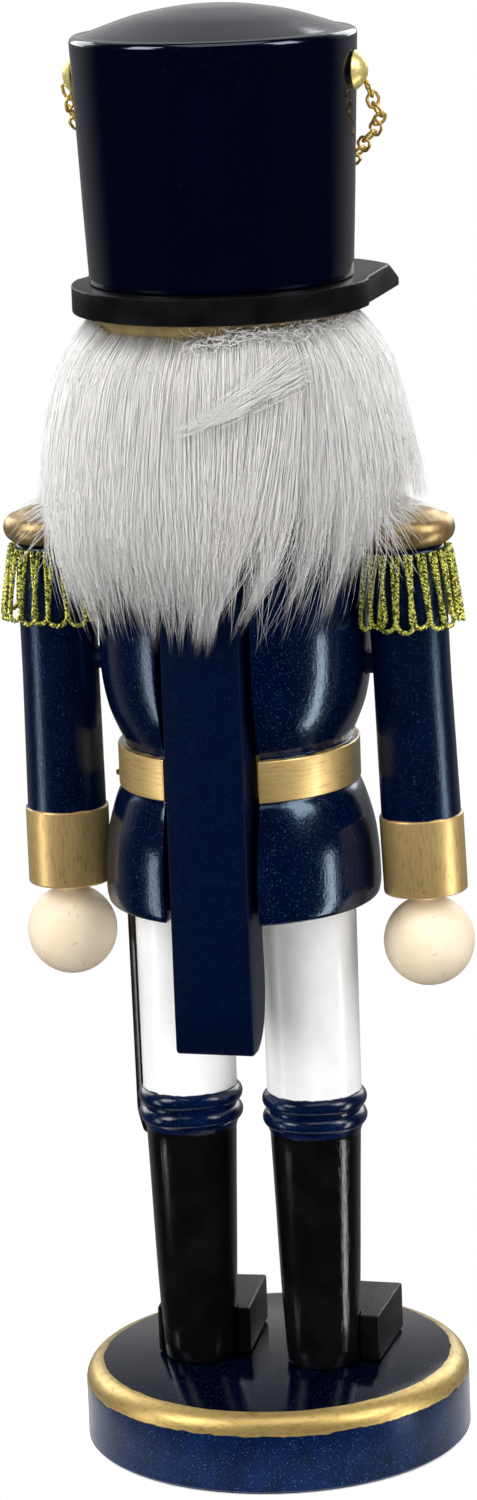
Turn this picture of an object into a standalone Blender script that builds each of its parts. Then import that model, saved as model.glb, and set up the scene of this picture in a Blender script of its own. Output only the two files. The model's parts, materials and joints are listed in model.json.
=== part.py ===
"""Wooden soldier nutcracker: turned and painted figure on a round base, with a working jaw lever.

Metres, +Z up. The origin is the centre of the base's underside and the figure faces -Y, so its own
left is +X. The figure stands a little behind and to one side of the base's centre.
"""

import math

import bmesh
import bpy

# ---- driving dimensions -------------------------------------------------------------------------
GAP = 0.0003
BASE_RADIUS = 0.0512
BASE_SIDE_HEIGHT = 0.016
BASE_TOP = 0.021
BASE_TOP_RADIUS = 0.0470
FIGURE_X = 0.0030
FIGURE_Y = 0.0047

HEM_Z = 0.1485
BELT_BOTTOM = 0.1795
BELT_TOP = 0.1908
CHEST_RADIUS = 0.0351
HEM_RADIUS = 0.0358
SHOULDER_Z = 0.2460
HEAD_RADIUS = 0.0330
HEAD_TOP = 0.3025
BRIM_THICKNESS = 0.0070
CROWN_HEIGHT = 0.0689
CROWN_BOTTOM_RADIUS = 0.0337
CROWN_TOP_RADIUS = 0.0363

LEG_X = 0.0169
LEG_RADIUS = 0.0126
KNEE_Z = 0.0915
KNEE_RING = 0.0025
BOOT_BOTTOM_RADIUS = 0.0093
FOOT_SIZE = (0.025, 0.028, 0.0125)
FOOT_X = {"left": 0.0170, "right": -0.0198}
FOOT_SPLAY = {"left": math.radians(5), "right": 0.0}

SLEEVE_RADIUS = 0.0103
CUFF_RADIUS = 0.0109
CUFF_BOTTOM = 0.1510
CUFF_TOP = 0.1713
ARM_TOP = 0.2415
ARM_DOWEL_Z = 0.2110
SHOULDER_X = {"left": 0.0474, "right": -0.0454}
ARM_LEAN = {"left": 0.0, "right": math.radians(2.0)}
HAND_RADIUS = 0.0118
HAND_Z = 0.1376
EPAULETTE_RADIUS = 0.0133
EPAULETTE_THICKNESS = 0.0098
FRINGE_LENGTH = 0.0192

LEVER_WIDTH = 0.0206
LEVER_BACK = 0.0355
LEVER_THICKNESS = 0.0140
LEVER_BOTTOM = 0.1146
SLOT_WIDTH = 0.0250
PIVOT_Y = 0.0120
PIVOT_Z = 0.2590
PIN_RADIUS = 0.0020
PIN_LENGTH = 0.0580
MOUTH_TOP = 0.2720
JAW_TOP = 0.2660
JAW_BOTTOM = 0.2500
THROAT_Z = 0.2330

DOWEL_RADIUS = 0.0030
DOWEL_LENGTH = 0.0220
TACK_RADIUS = 0.0050
TACK_Z = 0.3620
CHAIN_RADIUS = 0.0013
CHAIN_DROP = 0.0330

BRIM_BOTTOM = HEAD_TOP + GAP
CROWN_BOTTOM = BRIM_BOTTOM + BRIM_THICKNESS + GAP
CROWN_TOP = CROWN_BOTTOM + CROWN_HEIGHT
SIDES = {"left": 1, "right": -1}

NAVY = (0.012, 0.035, 0.115)
GOLD = (0.62, 0.44, 0.17)
BLACK = (0.012, 0.012, 0.013)
WHITE = (0.82, 0.82, 0.80)
WOOD = (0.70, 0.55, 0.37)
SKIN = (0.80, 0.58, 0.42)
BRASS = (0.70, 0.55, 0.22)
STEEL = (0.55, 0.55, 0.56)
LIME_GOLD = (0.55, 0.56, 0.16)


# ---- scene helpers ------------------------------------------------------------------------------
def clear_scene():
    for obj in list(bpy.data.objects):
        bpy.data.objects.remove(obj, do_unlink=True)


def new_collection(name):
    collection = bpy.data.collections.new(name)
    bpy.context.scene.collection.children.link(collection)
    return collection


def finish_material(name, colour, roughness, metallic=0.0):
    material = bpy.data.materials.new(name)
    material.use_nodes = True
    shader = material.node_tree.nodes["Principled BSDF"]
    shader.inputs["Base Color"].default_value = (*colour, 1.0)
    shader.inputs["Roughness"].default_value = roughness
    shader.inputs["Metallic"].default_value = metallic
    return material


def add_object(name, data, colour, roughness=0.4, metallic=0.0, parent=None):
    obj = bpy.data.objects.new(name, data)
    PARTS.objects.link(obj)
    obj.data.materials.append(finish_material(name, colour, roughness, metallic))
    obj.parent = parent
    return obj


def add_empty(name, location, rotation=(0, 0, 0)):
    empty = bpy.data.objects.new(name, None)
    PARTS.objects.link(empty)
    empty.location = location
    empty.rotation_euler = rotation
    empty.empty_display_size = 0.02
    return empty


def mesh_from_bmesh(name, bm):
    mesh = bpy.data.meshes.new(name)
    bmesh.ops.recalc_face_normals(bm, faces=bm.faces)
    bm.to_mesh(mesh)
    bm.free()
    return mesh


def smooth(mesh, angle=35):
    mesh.shade_smooth()
    mesh.set_sharp_from_angle(angle=math.radians(angle))


# ---- shape helpers ------------------------------------------------------------------------------
def arc(centre, radius, start, end, points):
    """Points on a circular arc in the (radius, height) plane, angles in degrees."""
    step = (end - start) / (points - 1)
    angles = [math.radians(start + step * i) for i in range(points)]
    return [(centre[0] + radius * math.cos(a), centre[1] + radius * math.sin(a)) for a in angles]


def turned(name, profile, steps, colour, closed=False, **finish):
    """Lathe work: an (r, z) outline, its outer side running downwards, spun about Z."""
    mesh = bpy.data.meshes.new(name)
    count = len(profile)
    edges = [(i, i + 1) for i in range(count - 1)]
    if closed:
        edges.append((count - 1, 0))
    mesh.from_pydata([(r, 0, z) for r, z in profile], edges, [])
    obj = add_object(name, mesh, colour, **finish)
    screw = obj.modifiers.new("Lathe", "SCREW")
    screw.steps = steps
    screw.render_steps = steps
    screw.use_merge_vertices = True
    screw.merge_threshold = 0.00001
    screw.use_smooth_shade = True
    return obj


def rod(name, radius, length, colour, sides=12, **finish):
    bm = bmesh.new()
    bmesh.ops.create_cone(
        bm, cap_ends=True, segments=sides, radius1=radius, radius2=radius, depth=length
    )
    mesh = mesh_from_bmesh(name, bm)
    smooth(mesh)
    return add_object(name, mesh, colour, **finish)


def block(name, size, colour, bevel=0.0, **finish):
    bm = bmesh.new()
    bmesh.ops.create_cube(bm, size=1.0)
    bmesh.ops.scale(bm, vec=size, verts=bm.verts)
    obj = add_object(name, mesh_from_bmesh(name, bm), colour, **finish)
    if bevel:
        add_bevel(obj, bevel)
    return obj


def add_bevel(obj, width, segments=2, angle=40):
    bevel = obj.modifiers.new("Edges", "BEVEL")
    bevel.width = width
    bevel.segments = segments
    bevel.limit_method = "ANGLE"
    bevel.angle_limit = math.radians(angle)
    bevel.harden_normals = True


def sawn(name, outline, thickness, colour, **finish):
    """A flat outline in (x, y), cut from board of the given thickness, as a welded mesh."""
    curve = bpy.data.curves.new(name, "CURVE")
    curve.dimensions = "2D"
    curve.fill_mode = "BOTH"
    curve.extrude = thickness / 2
    spline = curve.splines.new("POLY")
    spline.points.add(len(outline) - 1)
    for point, (x, y) in zip(spline.points, outline, strict=True):
        point.co = (x, y, 0, 1)
    spline.use_cyclic_u = True
    guide = bpy.data.objects.new(name + "_outline", curve)
    PARTS.objects.link(guide)
    bpy.context.view_layer.update()
    depsgraph = bpy.context.evaluated_depsgraph_get()
    mesh = bpy.data.meshes.new_from_object(guide.evaluated_get(depsgraph))
    bpy.data.objects.remove(guide)
    bm = bmesh.new()
    bm.from_mesh(mesh)
    bmesh.ops.remove_doubles(bm, verts=bm.verts, dist=0.00001)
    bmesh.ops.dissolve_limit(bm, angle_limit=math.radians(1), verts=bm.verts, edges=bm.edges)
    bmesh.ops.recalc_face_normals(bm, faces=bm.faces)
    bm.to_mesh(mesh)
    bm.free()
    mesh.materials.clear()
    return add_object(name, mesh, colour, **finish)


def bend_round(mesh, radius, spacing):
    """Slices a board across x at the given spacing and bends it round a vertical cylinder."""
    bm = bmesh.new()
    bm.from_mesh(mesh)
    reach = max(abs(v.co.x) for v in bm.verts)
    cuts = int(reach / spacing)
    for i in range(-cuts, cuts + 1):
        geometry = bm.verts[:] + bm.edges[:] + bm.faces[:]
        place = (i * spacing, 0, 0)
        bmesh.ops.bisect_plane(bm, geom=geometry, dist=0.00001, plane_co=place, plane_no=(1, 0, 0))
    for vertex in bm.verts:
        turn = vertex.co.x / radius
        reach = radius + vertex.co.z
        vertex.co.x = reach * math.sin(turn)
        vertex.co.z = reach * math.cos(turn)
    bm.to_mesh(mesh)
    bm.free()


def cutter(name, data, location, rotation=(0, 0, 0)):
    obj = bpy.data.objects.new(name, data)
    CUTTERS.objects.link(obj)
    obj.location = location
    obj.rotation_euler = rotation
    obj.hide_render = True
    obj.display_type = "WIRE"
    return obj


def box_cutter(name, low, high):
    """A box between two corners given from the figure's axis."""
    bm = bmesh.new()
    bmesh.ops.create_cube(bm, size=1.0)
    size = [h - l for l, h in zip(low, high, strict=True)]
    bmesh.ops.scale(bm, vec=size, verts=bm.verts)
    middle = [(h + l) / 2 for l, h in zip(low, high, strict=True)]
    place = (middle[0] + FIGURE_X, middle[1] + FIGURE_Y, middle[2])
    return cutter(name, mesh_from_bmesh(name, bm), place)


def rod_cutter(name, radius, length, place, rotation=(0, 0, 0), sides=14):
    bm = bmesh.new()
    bmesh.ops.create_cone(
        bm, cap_ends=True, segments=sides, radius1=radius, radius2=radius, depth=length
    )
    location = (place[0] + FIGURE_X, place[1] + FIGURE_Y, place[2])
    return cutter(name, mesh_from_bmesh(name, bm), location, rotation)


def cut(obj, *tools):
    for tool in tools:
        boolean = obj.modifiers.new("Cut " + tool.name, "BOOLEAN")
        boolean.operation = "DIFFERENCE"
        boolean.solver = "EXACT"
        boolean.object = tool


# ---- base, legs and feet ------------------------------------------------------------------------
def make_base():
    screw_hole = 0.0022
    profile = [(0, BASE_TOP), (BASE_TOP_RADIUS, BASE_TOP)]
    profile += arc((BASE_TOP_RADIUS - 0.001, BASE_SIDE_HEIGHT - 0.0002), 0.0052, 68, 0, 4)
    profile += [(BASE_RADIUS, BASE_SIDE_HEIGHT - 0.0006), (BASE_RADIUS, 0.0008)]
    profile += [(BASE_RADIUS - 0.0008, 0), (0, 0)]
    base = turned("base", profile, 40, NAVY, roughness=0.25)
    for side, sign in SIDES.items():
        place = (sign * LEG_X, 0, BASE_TOP / 2)
        cut(base, rod_cutter("screw_hole_" + side, screw_hole, BASE_TOP * 2, place))
        place = (sign * LEG_X, 0, 0)
        cut(base, rod_cutter("screw_seat_" + side, 0.0046, 0.010, place))
        make_base_screw(side, sign)


def make_base_screw(side, sign):
    head_bottom = 0.0014
    profile = [(0, 0.0325), (0.0014, 0.0300), (0.0019, 0.0270), (0.0019, 0.0090)]
    profile += [(0.0019, 0.0046), (0.0040, 0.0038), (0.0040, head_bottom), (0, head_bottom)]
    screw = turned("base_screw_" + side, profile, 12, STEEL, metallic=1.0, parent=FIGURE)
    screw.location = (sign * LEG_X, 0, 0)


def make_leg(side, sign):
    """Trouser leg, two knee rings and boot in one turning, bored for the dowel and the screw."""
    top = HEM_Z - GAP
    bottom = BASE_TOP + GAP
    bore = DOWEL_RADIUS + GAP
    profile = [(0, top - 0.012), (bore, top - 0.012), (bore, top), (LEG_RADIUS, top)]
    ring_radius = LEG_RADIUS - 0.0012
    profile += [(LEG_RADIUS - 0.0003, KNEE_Z + 2 * KNEE_RING + 0.0002)]
    profile += arc((ring_radius, KNEE_Z + KNEE_RING), KNEE_RING * 0.96, 58, -65, 4)
    profile += arc((ring_radius, KNEE_Z - KNEE_RING), KNEE_RING * 0.96, 65, -58, 4)
    profile += [(LEG_RADIUS - 0.0003, KNEE_Z - 2 * KNEE_RING - 0.0010)]
    profile += [(LEG_RADIUS - 0.0006, KNEE_Z - 2 * KNEE_RING - 0.0014)]
    profile += [(BOOT_BOTTOM_RADIUS + 0.0004, bottom + 0.004), (BOOT_BOTTOM_RADIUS, bottom)]
    profile += [(0.0022, bottom), (0.0022, bottom + 0.013), (0, bottom + 0.013)]
    leg = turned("leg_" + side, profile, 22, WHITE, roughness=0.2, parent=FIGURE)
    leg.location = (sign * LEG_X, 0, 0)


def make_foot(side, sign):
    foot = block("foot_" + side, FOOT_SIZE, BLACK, roughness=0.6, parent=FIGURE)
    foot.location = (FOOT_X[side], -FOOT_SIZE[1] / 2, BASE_TOP + GAP + FOOT_SIZE[2] / 2)
    foot.rotation_euler = (0, 0, FOOT_SPLAY[side])
    add_bevel(foot, 0.0007, segments=1)
    place = (sign * LEG_X, 0, BASE_TOP)
    clearance = BOOT_BOTTOM_RADIUS + 0.0011
    cut(foot, rod_cutter("boot_seat_" + side, clearance, 0.05, place, sides=22))


def make_leg_dowel(side, sign):
    dowel = rod("leg_dowel_" + side, DOWEL_RADIUS, DOWEL_LENGTH, WOOD, parent=FIGURE)
    dowel.location = (sign * LEG_X, 0, HEM_Z)


# ---- coat, belt, arms ---------------------------------------------------------------------------
def make_coat_body():
    """Chest, waist band and skirt in one turning, slotted for the lever and open at the throat."""
    profile = [(0, SHOULDER_Z), (0.0300, SHOULDER_Z), (0.0322, SHOULDER_Z - 0.0030)]
    profile += [(0.0339, 0.2350), (0.0349, 0.2250), (CHEST_RADIUS, 0.2160), (0.0347, 0.2080)]
    profile += [(0.0334, 0.2010), (0.0316, 0.1960), (0.0295, BELT_TOP + 0.0008)]
    profile += [(0.0294, BELT_TOP), (0.0314, BELT_TOP - 0.0002), (0.0314, BELT_BOTTOM + 0.0002)]
    profile += [(0.0306, BELT_BOTTOM - 0.0002), (0.0316, 0.1776), (0.0332, 0.1730)]
    profile += [(0.0349, 0.1670), (0.0356, 0.1600), (HEM_RADIUS, 0.1530)]
    profile += [(HEM_RADIUS - 0.0006, HEM_Z + 0.0012), (HEM_RADIUS - 0.0020, HEM_Z), (0, HEM_Z)]
    body = turned("coat_body", profile, 36, NAVY, roughness=0.25, parent=FIGURE)
    half = SLOT_WIDTH / 2
    inner = LEVER_BACK - LEVER_THICKNESS - GAP
    cut(body, box_cutter("lever_slot", (-half, inner, HEM_Z - 0.01), (half, 0.05, 0.26)))
    cut(body, box_cutter("throat", (-half, -0.05, THROAT_Z), (half, inner + 0.002, 0.26)))
    bore = DOWEL_RADIUS + GAP
    for side, sign in SIDES.items():
        place = (sign * LEG_X, 0, HEM_Z)
        cut(body, rod_cutter("leg_bore_" + side, bore, 0.024, place))
        place = (sign * 0.0215, 0, SHOULDER_Z)
        cut(body, rod_cutter("neck_bore_" + side, bore, 0.024, place))
        place = (sign * 0.0330, 0, ARM_DOWEL_Z)
        turn = (0, math.radians(90), 0)
        cut(body, rod_cutter("arm_bore_" + side, bore, 0.020, place, turn))


def make_belt_buckle():
    frame = block("belt_buckle", (0.0130, 0.0020, 0.0135), BRASS, metallic=1.0, parent=FIGURE)
    frame.location = (0, -0.0314 - 0.0010 - GAP, (BELT_TOP + BELT_BOTTOM) / 2)
    add_bevel(frame, 0.0005)
    middle = (BELT_TOP + BELT_BOTTOM) / 2
    cut(frame, box_cutter("buckle_window", (-0.004, -0.05, middle - 0.004), (0.004, 0, middle + 0.004)))


def make_coat_button(name, z, surface, slope):
    profile = [(0, 0.0020)] + arc((0.0006, 0), 0.0020, 84, 0, 5) + [(0, 0)]
    button = turned("coat_button_" + name, profile, 12, GOLD, metallic=0.8, parent=FIGURE)
    button.location = (0, -surface - GAP, z)
    button.rotation_euler = (math.radians(90 + slope), 0, 0)


def make_arm(side, sign):
    """Sleeve and cuff in one turning, with a dowel hole in the shoulder and a socket for the hand."""
    arm_axis = add_empty("arm_axis_" + side, (SHOULDER_X[side], 0, ARM_TOP))
    arm_axis.rotation_euler = (0, -sign * ARM_LEAN[side], 0)
    arm_axis.parent = FIGURE
    socket = 0.0034
    profile = [(0, 0), (SLEEVE_RADIUS - 0.0010, 0), (SLEEVE_RADIUS, -0.0010)]
    profile += [(SLEEVE_RADIUS - 0.0003, -0.0340), (SLEEVE_RADIUS, CUFF_TOP - ARM_TOP + 0.0004)]
    profile += [(CUFF_RADIUS - 0.0002, CUFF_TOP - ARM_TOP), (CUFF_RADIUS, CUFF_TOP - ARM_TOP - 0.0006)]
    profile += [(CUFF_RADIUS - 0.0001, CUFF_BOTTOM - ARM_TOP + 0.0008)]
    profile += [(CUFF_RADIUS - 0.0008, CUFF_BOTTOM - ARM_TOP), (socket, CUFF_BOTTOM - ARM_TOP)]
    profile += [(socket, CUFF_BOTTOM - ARM_TOP + 0.010), (0, CUFF_BOTTOM - ARM_TOP + 0.010)]
    arm = turned("arm_" + side, profile, 20, NAVY, roughness=0.3, parent=arm_axis)
    bore_place = (sign * 0.0390, 0, ARM_DOWEL_Z)
    turn = (0, math.radians(90), 0)
    cut(arm, rod_cutter("sleeve_bore_" + side, DOWEL_RADIUS + GAP, 0.018, bore_place, turn))
    make_hand(side, arm_axis, socket)
    make_epaulette(side, arm_axis)


def make_hand(side, arm_axis, socket):
    """A turned ball with a peg that fits up into the cuff."""
    centre = HAND_Z - ARM_TOP
    top = CUFF_BOTTOM - ARM_TOP - GAP
    flat = math.degrees(math.asin(min(0.96, (top - 0.0006 - centre) / HAND_RADIUS)))
    peg = socket - GAP
    profile = [(0, top + 0.009), (peg - 0.0005, top + 0.009), (peg, top + 0.0085)]
    profile += arc((0, centre), HAND_RADIUS, flat, -90, 8)
    profile[-1] = (0, centre - HAND_RADIUS)
    turned("hand_" + side, profile, 18, SKIN, roughness=0.55, parent=arm_axis)


def make_arm_dowel(side, sign):
    """The dowel spans the chest's wall and the sleeve's inner half."""
    length = 0.0150
    dowel = rod("arm_dowel_" + side, DOWEL_RADIUS, length, WOOD, parent=FIGURE)
    dowel.rotation_euler = (0, math.radians(90), 0)
    dowel.location = (sign * (0.0248 + length / 2), 0, ARM_DOWEL_Z)


def make_epaulette(side, arm_axis):
    bottom = GAP
    top = EPAULETTE_THICKNESS
    edge = 0.0042
    profile = [(0, top), (0.0050, top - 0.0002), (0.0092, top - 0.0012)]
    profile += arc((EPAULETTE_RADIUS - edge, bottom + edge), edge, 66, -58, 5)
    profile += [(0.0105, bottom), (0, bottom)]
    turned("epaulette_" + side, profile, 22, GOLD, roughness=0.3, metallic=0.8, parent=arm_axis)


def make_fringe(side, arm_axis):
    """The cord trim under the disc, as a plain flared skirt round the top of the sleeve."""
    top = -0.0004
    bottom = top - FRINGE_LENGTH
    inner = SLEEVE_RADIUS + GAP
    profile = [(inner, top), (0.0121, top), (0.0143, bottom + 0.002), (0.0138, bottom)]
    profile += [(inner + 0.0010, bottom)]
    fringe = turned(
        "fringe_" + side, profile, 20, LIME_GOLD, closed=True, metallic=0.5, parent=arm_axis
    )
    sign = SIDES[side]
    inside = sorted((sign * 0.0, sign * (CHEST_RADIUS + GAP)))
    cut(fringe, box_cutter("fringe_back_" + side, (inside[0], -0.03, 0.2), (inside[1], 0.03, 0.25)))


# ---- sword --------------------------------------------------------------------------------------
def make_sword():
    """Scabbard and hilt hang tangent to the skirt, in front of the left hip."""
    azimuth = math.radians(63)
    radius = HEM_RADIUS + GAP + 0.0015
    hip = add_empty("sword_axis", (radius * math.sin(azimuth), -radius * math.cos(azimuth), 0.1755))
    hip.rotation_euler = (0, 0, azimuth)
    hip.parent = FIGURE
    width, length, point = 0.0090, 0.0995, 0.0070
    outline = [(-width / 2, 0), (-width / 2 + 0.001, -length + point), (0, -length)]
    outline += [(width / 2 - 0.001, -length + point), (width / 2, 0)]
    scabbard = sawn("scabbard", outline, 0.0028, BLACK, roughness=0.35, parent=hip)
    scabbard.rotation_euler = (math.radians(90), 0, 0)
    add_bevel(scabbard, 0.0006, segments=1)
    profile = [(0, 0.0300)] + arc((0.0006, 0.0272), 0.0028, 75, -50, 4)
    profile += [(0.0020, 0.0235), (0.0024, 0.0150), (0.0018, 0.0060), (0.0030, 0.0045)]
    profile += [(0.0034, 0.0022), (0.0026, GAP), (0, GAP)]
    turned("sword_hilt", profile, 12, BRASS, roughness=0.3, metallic=1.0, parent=hip)


# ---- head, jaw and fur --------------------------------------------------------------------------
def make_head():
    bottom = SHOULDER_Z + GAP
    profile = [(0, HEAD_TOP), (HEAD_RADIUS - 0.0008, HEAD_TOP), (HEAD_RADIUS, HEAD_TOP - 0.0010)]
    profile += [(HEAD_RADIUS, bottom + 0.010), (HEAD_RADIUS - 0.0008, bottom + 0.003)]
    profile += [(HEAD_RADIUS - 0.0026, bottom), (0, bottom)]
    head = turned("head", profile, 36, SKIN, roughness=0.4, parent=FIGURE)
    half = SLOT_WIDTH / 2
    cut(head, box_cutter("jaw_slot", (-half, -0.05, 0.24), (half, 0.05, MOUTH_TOP)))
    turn = (0, math.radians(90), 0)
    pivot = (0, PIVOT_Y, PIVOT_Z)
    cut(head, rod_cutter("pin_bore", PIN_RADIUS + GAP, 0.08, pivot, turn))
    for side, sign in SIDES.items():
        place = (sign * 0.0215, 0, SHOULDER_Z)
        cut(head, rod_cutter("head_bore_" + side, DOWEL_RADIUS + GAP, 0.024, place))
    cut(head, rod_cutter("hat_bore_head", 0.0040 + GAP, 0.030, (0, 0, HEAD_TOP)))
    nose_place = (0, -HEAD_RADIUS, 0.2862)
    cut(head, rod_cutter("nose_bore", 0.0016 + GAP, 0.012, nose_place, (math.radians(90), 0, 0)))


def make_neck_dowel(side, sign):
    dowel = rod("neck_dowel_" + side, DOWEL_RADIUS, DOWEL_LENGTH, WOOD, parent=FIGURE)
    dowel.location = (sign * 0.0215, 0, SHOULDER_Z)


def make_nose():
    """A ball with a flat back and a peg into the face."""
    radius = 0.0040
    peg = 0.0016
    profile = [(0, 0.0062)] + arc((0, 0.0024), radius, 75, -30, 5)
    profile += [(peg, GAP), (peg, -0.0050), (0, -0.0050)]
    nose = turned("nose", profile, 14, SKIN, roughness=0.4, parent=FIGURE)
    nose.location = (0, -HEAD_RADIUS, 0.2862)
    nose.rotation_euler = (math.radians(90), 0, 0)


def make_moustache():
    """Two drooping wings, carved from one strip and curved to the face."""
    half = [(0, 0.0022), (0.0050, 0.0034), (0.0110, 0.0026), (0.0170, -0.0008), (0.0196, -0.0044)]
    half += [(0.0150, -0.0036), (0.0100, -0.0022), (0.0050, -0.0020)]
    outline = half + [(0, -0.0010)] + [(-x, y) for x, y in reversed(half[1:])]
    moustache = sawn("moustache", outline, 0.0024, WHITE, roughness=0.6, parent=FIGURE)
    bend_round(moustache.data, HEAD_RADIUS + 0.0018, 0.0040)
    moustache.rotation_euler = (math.radians(90), 0, 0)
    moustache.location = (0, 0, 0.2792)


def make_jaw_lever():
    """The lower jaw and the long back lever are one sawn piece, drilled for the cross pin."""
    back = LEVER_BACK
    inner = LEVER_BACK - LEVER_THICKNESS
    outline = [(back - 0.0010, LEVER_BOTTOM), (back - 0.0002, LEVER_BOTTOM + 0.0010)]
    outline += [(back, LEVER_BOTTOM + 0.0140), (back, 0.2590)]
    outline += arc((back - 0.0060, JAW_TOP - 0.0062), 0.0060, 10, 90, 5)
    outline += [(-0.0325, JAW_TOP), (-0.0345, JAW_TOP - 0.0020), (-0.0350, 0.2580)]
    outline += [(-0.0345, JAW_BOTTOM + 0.0020), (-0.0325, JAW_BOTTOM), (-0.0160, JAW_BOTTOM)]
    outline += [(-0.0135, JAW_BOTTOM + 0.0027), (inner - 0.0034, JAW_BOTTOM + 0.0030)]
    outline += [(inner - 0.0009, JAW_BOTTOM + 0.0013), (inner, JAW_BOTTOM - 0.0023)]
    outline += [(inner, 0.1450), (inner - 0.0010, 0.1330), (inner - 0.0004, 0.1270)]
    outline += [(inner + 0.0012, 0.1210), (inner + 0.0044, 0.1168), (inner + 0.0085, LEVER_BOTTOM)]
    outline = [(y - PIVOT_Y, z - PIVOT_Z) for y, z in outline]
    lever = sawn("jaw_lever", outline, LEVER_WIDTH, NAVY, roughness=0.35, parent=JAW_AXIS)
    lever.rotation_euler = (math.radians(90), 0, math.radians(90))
    turn = (0, math.radians(90), 0)
    pivot = (0, PIVOT_Y, PIVOT_Z)
    cut(lever, rod_cutter("lever_bore", PIN_RADIUS + GAP, 0.04, pivot, turn))
    add_bevel(lever, 0.0008, segments=2, angle=50)


def make_jaw_pin():
    pin = rod("jaw_pin", PIN_RADIUS, PIN_LENGTH, STEEL, metallic=1.0, parent=FIGURE)
    pin.location = (0, PIVOT_Y, PIVOT_Z)
    pin.rotation_euler = (0, math.radians(90), 0)


def make_hair():
    """The fur's outer form: a thick collar round the head with an apron down the back."""
    head_skin = HEAD_RADIUS + 0.0006
    chest_skin = CHEST_RADIUS + 0.0010
    profile = [(head_skin, 0.2995), (0.0395, 0.2990), (0.0430, 0.2900), (0.0465, 0.2740)]
    profile += [(0.0490, 0.2580), (0.0500, 0.2440), (0.0485, 0.2320), (0.0450, 0.2230)]
    profile += [(0.0405, 0.2190), (chest_skin, 0.2200), (chest_skin, 0.2440), (head_skin, 0.2520)]
    hair = turned("hair", profile, 32, WHITE, closed=True, roughness=0.9, parent=FIGURE)
    cut(hair, box_cutter("face_opening", (-0.08, -0.08, 0.20), (0.08, -0.014, 0.31)))
    cut(hair, box_cutter("shoulder_room", (-0.08, -0.08, 0.20), (0.08, 0.0175, 0.2540)))
    half = SLOT_WIDTH / 2 + 0.0010
    cut(hair, box_cutter("lever_room", (-half, 0.0, 0.20), (half, 0.08, 0.2780)))


def make_beard():
    """Fur glued to the jaw's front, hanging over the throat and chest."""
    width, thick, length = 0.0310, 0.0090, 0.0370
    top = 0.2600
    outline = [(-width / 2, 0), (-width / 2 - 0.001, -length * 0.45), (-0.0090, -length * 0.85)]
    outline += [(0, -length), (0.0090, -length * 0.85), (width / 2 + 0.001, -length * 0.45)]
    outline += [(width / 2, 0)]
    beard = sawn("beard", outline, thick, WHITE, roughness=0.9, parent=JAW_AXIS)
    beard.rotation_euler = (math.radians(90), 0, 0)
    front = -0.0355 - GAP - thick / 2
    beard.location = (0, front - PIVOT_Y, top - PIVOT_Z)
    add_bevel(beard, 0.0020, segments=1)


# ---- hat ----------------------------------------------------------------------------------------
def make_hat_brim():
    """A board with a round back and a visor whose front edge is planed down to a thin lip."""
    back_radius, half_visor, front_radius, bevel_radius = 0.0383, 0.0373, 0.0530, 0.0462
    corner = -math.degrees(math.acos(half_visor / front_radius))
    outline = arc((0, 0), back_radius, 0, 180, 21)
    outline += [(-half_visor, -0.010)]
    outline += arc((0, 0), front_radius, -180 - corner, corner, 11)
    outline += [(half_visor, -0.010)]
    brim = sawn("hat_brim", outline, BRIM_THICKNESS, BLACK, roughness=0.35, parent=FIGURE)
    brim.location = (0, 0, BRIM_BOTTOM + BRIM_THICKNESS / 2)
    drop = 0.0046
    spread = front_radius - bevel_radius + 0.004
    slope = drop / (front_radius - bevel_radius)
    profile = [(bevel_radius + spread, BRIM_THICKNESS), (bevel_radius + spread, -slope * spread)]
    profile += [(bevel_radius, 0), (bevel_radius - 0.002, BRIM_THICKNESS)]
    plane = turned("visor_plane", profile, 48, BLACK, closed=True)
    PARTS.objects.unlink(plane)
    CUTTERS.objects.link(plane)
    plane.hide_render = True
    plane.display_type = "WIRE"
    plane.location = (FIGURE_X, FIGURE_Y, BRIM_BOTTOM + BRIM_THICKNESS)
    cut(brim, plane, rod_cutter("hat_bore_brim", 0.0040 + GAP, 0.03, (0, 0, BRIM_BOTTOM)))
    add_bevel(brim, 0.0004, segments=1)


def make_hat_crown():
    top, bottom = CROWN_TOP, CROWN_BOTTOM
    rim = top - 0.0082
    profile = [(0, top), (0.0100, top - 0.0005), (0.0200, top - 0.0023), (0.0280, top - 0.0050)]
    profile += arc((CROWN_TOP_RADIUS - 0.0022, rim), 0.0022, 62, -2, 4)
    profile += [(CROWN_BOTTOM_RADIUS, bottom + 0.0004), (CROWN_BOTTOM_RADIUS - 0.0004, bottom)]
    profile += [(0.0043, bottom), (0.0043, bottom + 0.016), (0, bottom + 0.016)]
    crown = turned("hat_crown", profile, 36, NAVY, roughness=0.2, parent=FIGURE)
    turn = (0, math.radians(90), 0)
    for side, sign in SIDES.items():
        place = (sign * TACK_SEAT, 0, TACK_Z)
        cut(crown, rod_cutter("tack_hole_" + side, 0.0010 + GAP, 0.022, place, turn))


def make_hat_dowel():
    bottom = HEAD_TOP - 0.0145
    top = CROWN_BOTTOM + 0.0155
    dowel = rod("hat_dowel", 0.0040, top - bottom, WOOD, parent=FIGURE)
    dowel.location = (0, 0, (top + bottom) / 2)


def make_hat_tack(side, sign):
    """A domed nail head with its shank driven into the crown."""
    shank = 0.0010
    profile = [(0, 0.0034), (0.0018, 0.0031), (0.0034, 0.0022), (0.0046, 0.0008)]
    profile += [(TACK_RADIUS, GAP), (shank, GAP), (shank, -0.0090), (0, -0.0100)]
    tack = turned("hat_tack_" + side, profile, 14, BRASS, metallic=1.0, parent=FIGURE)
    tack.rotation_euler = (0, math.radians(sign * 90), 0)
    tack.location = (sign * (TACK_SEAT + 0.0004), 0, TACK_Z)


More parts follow.
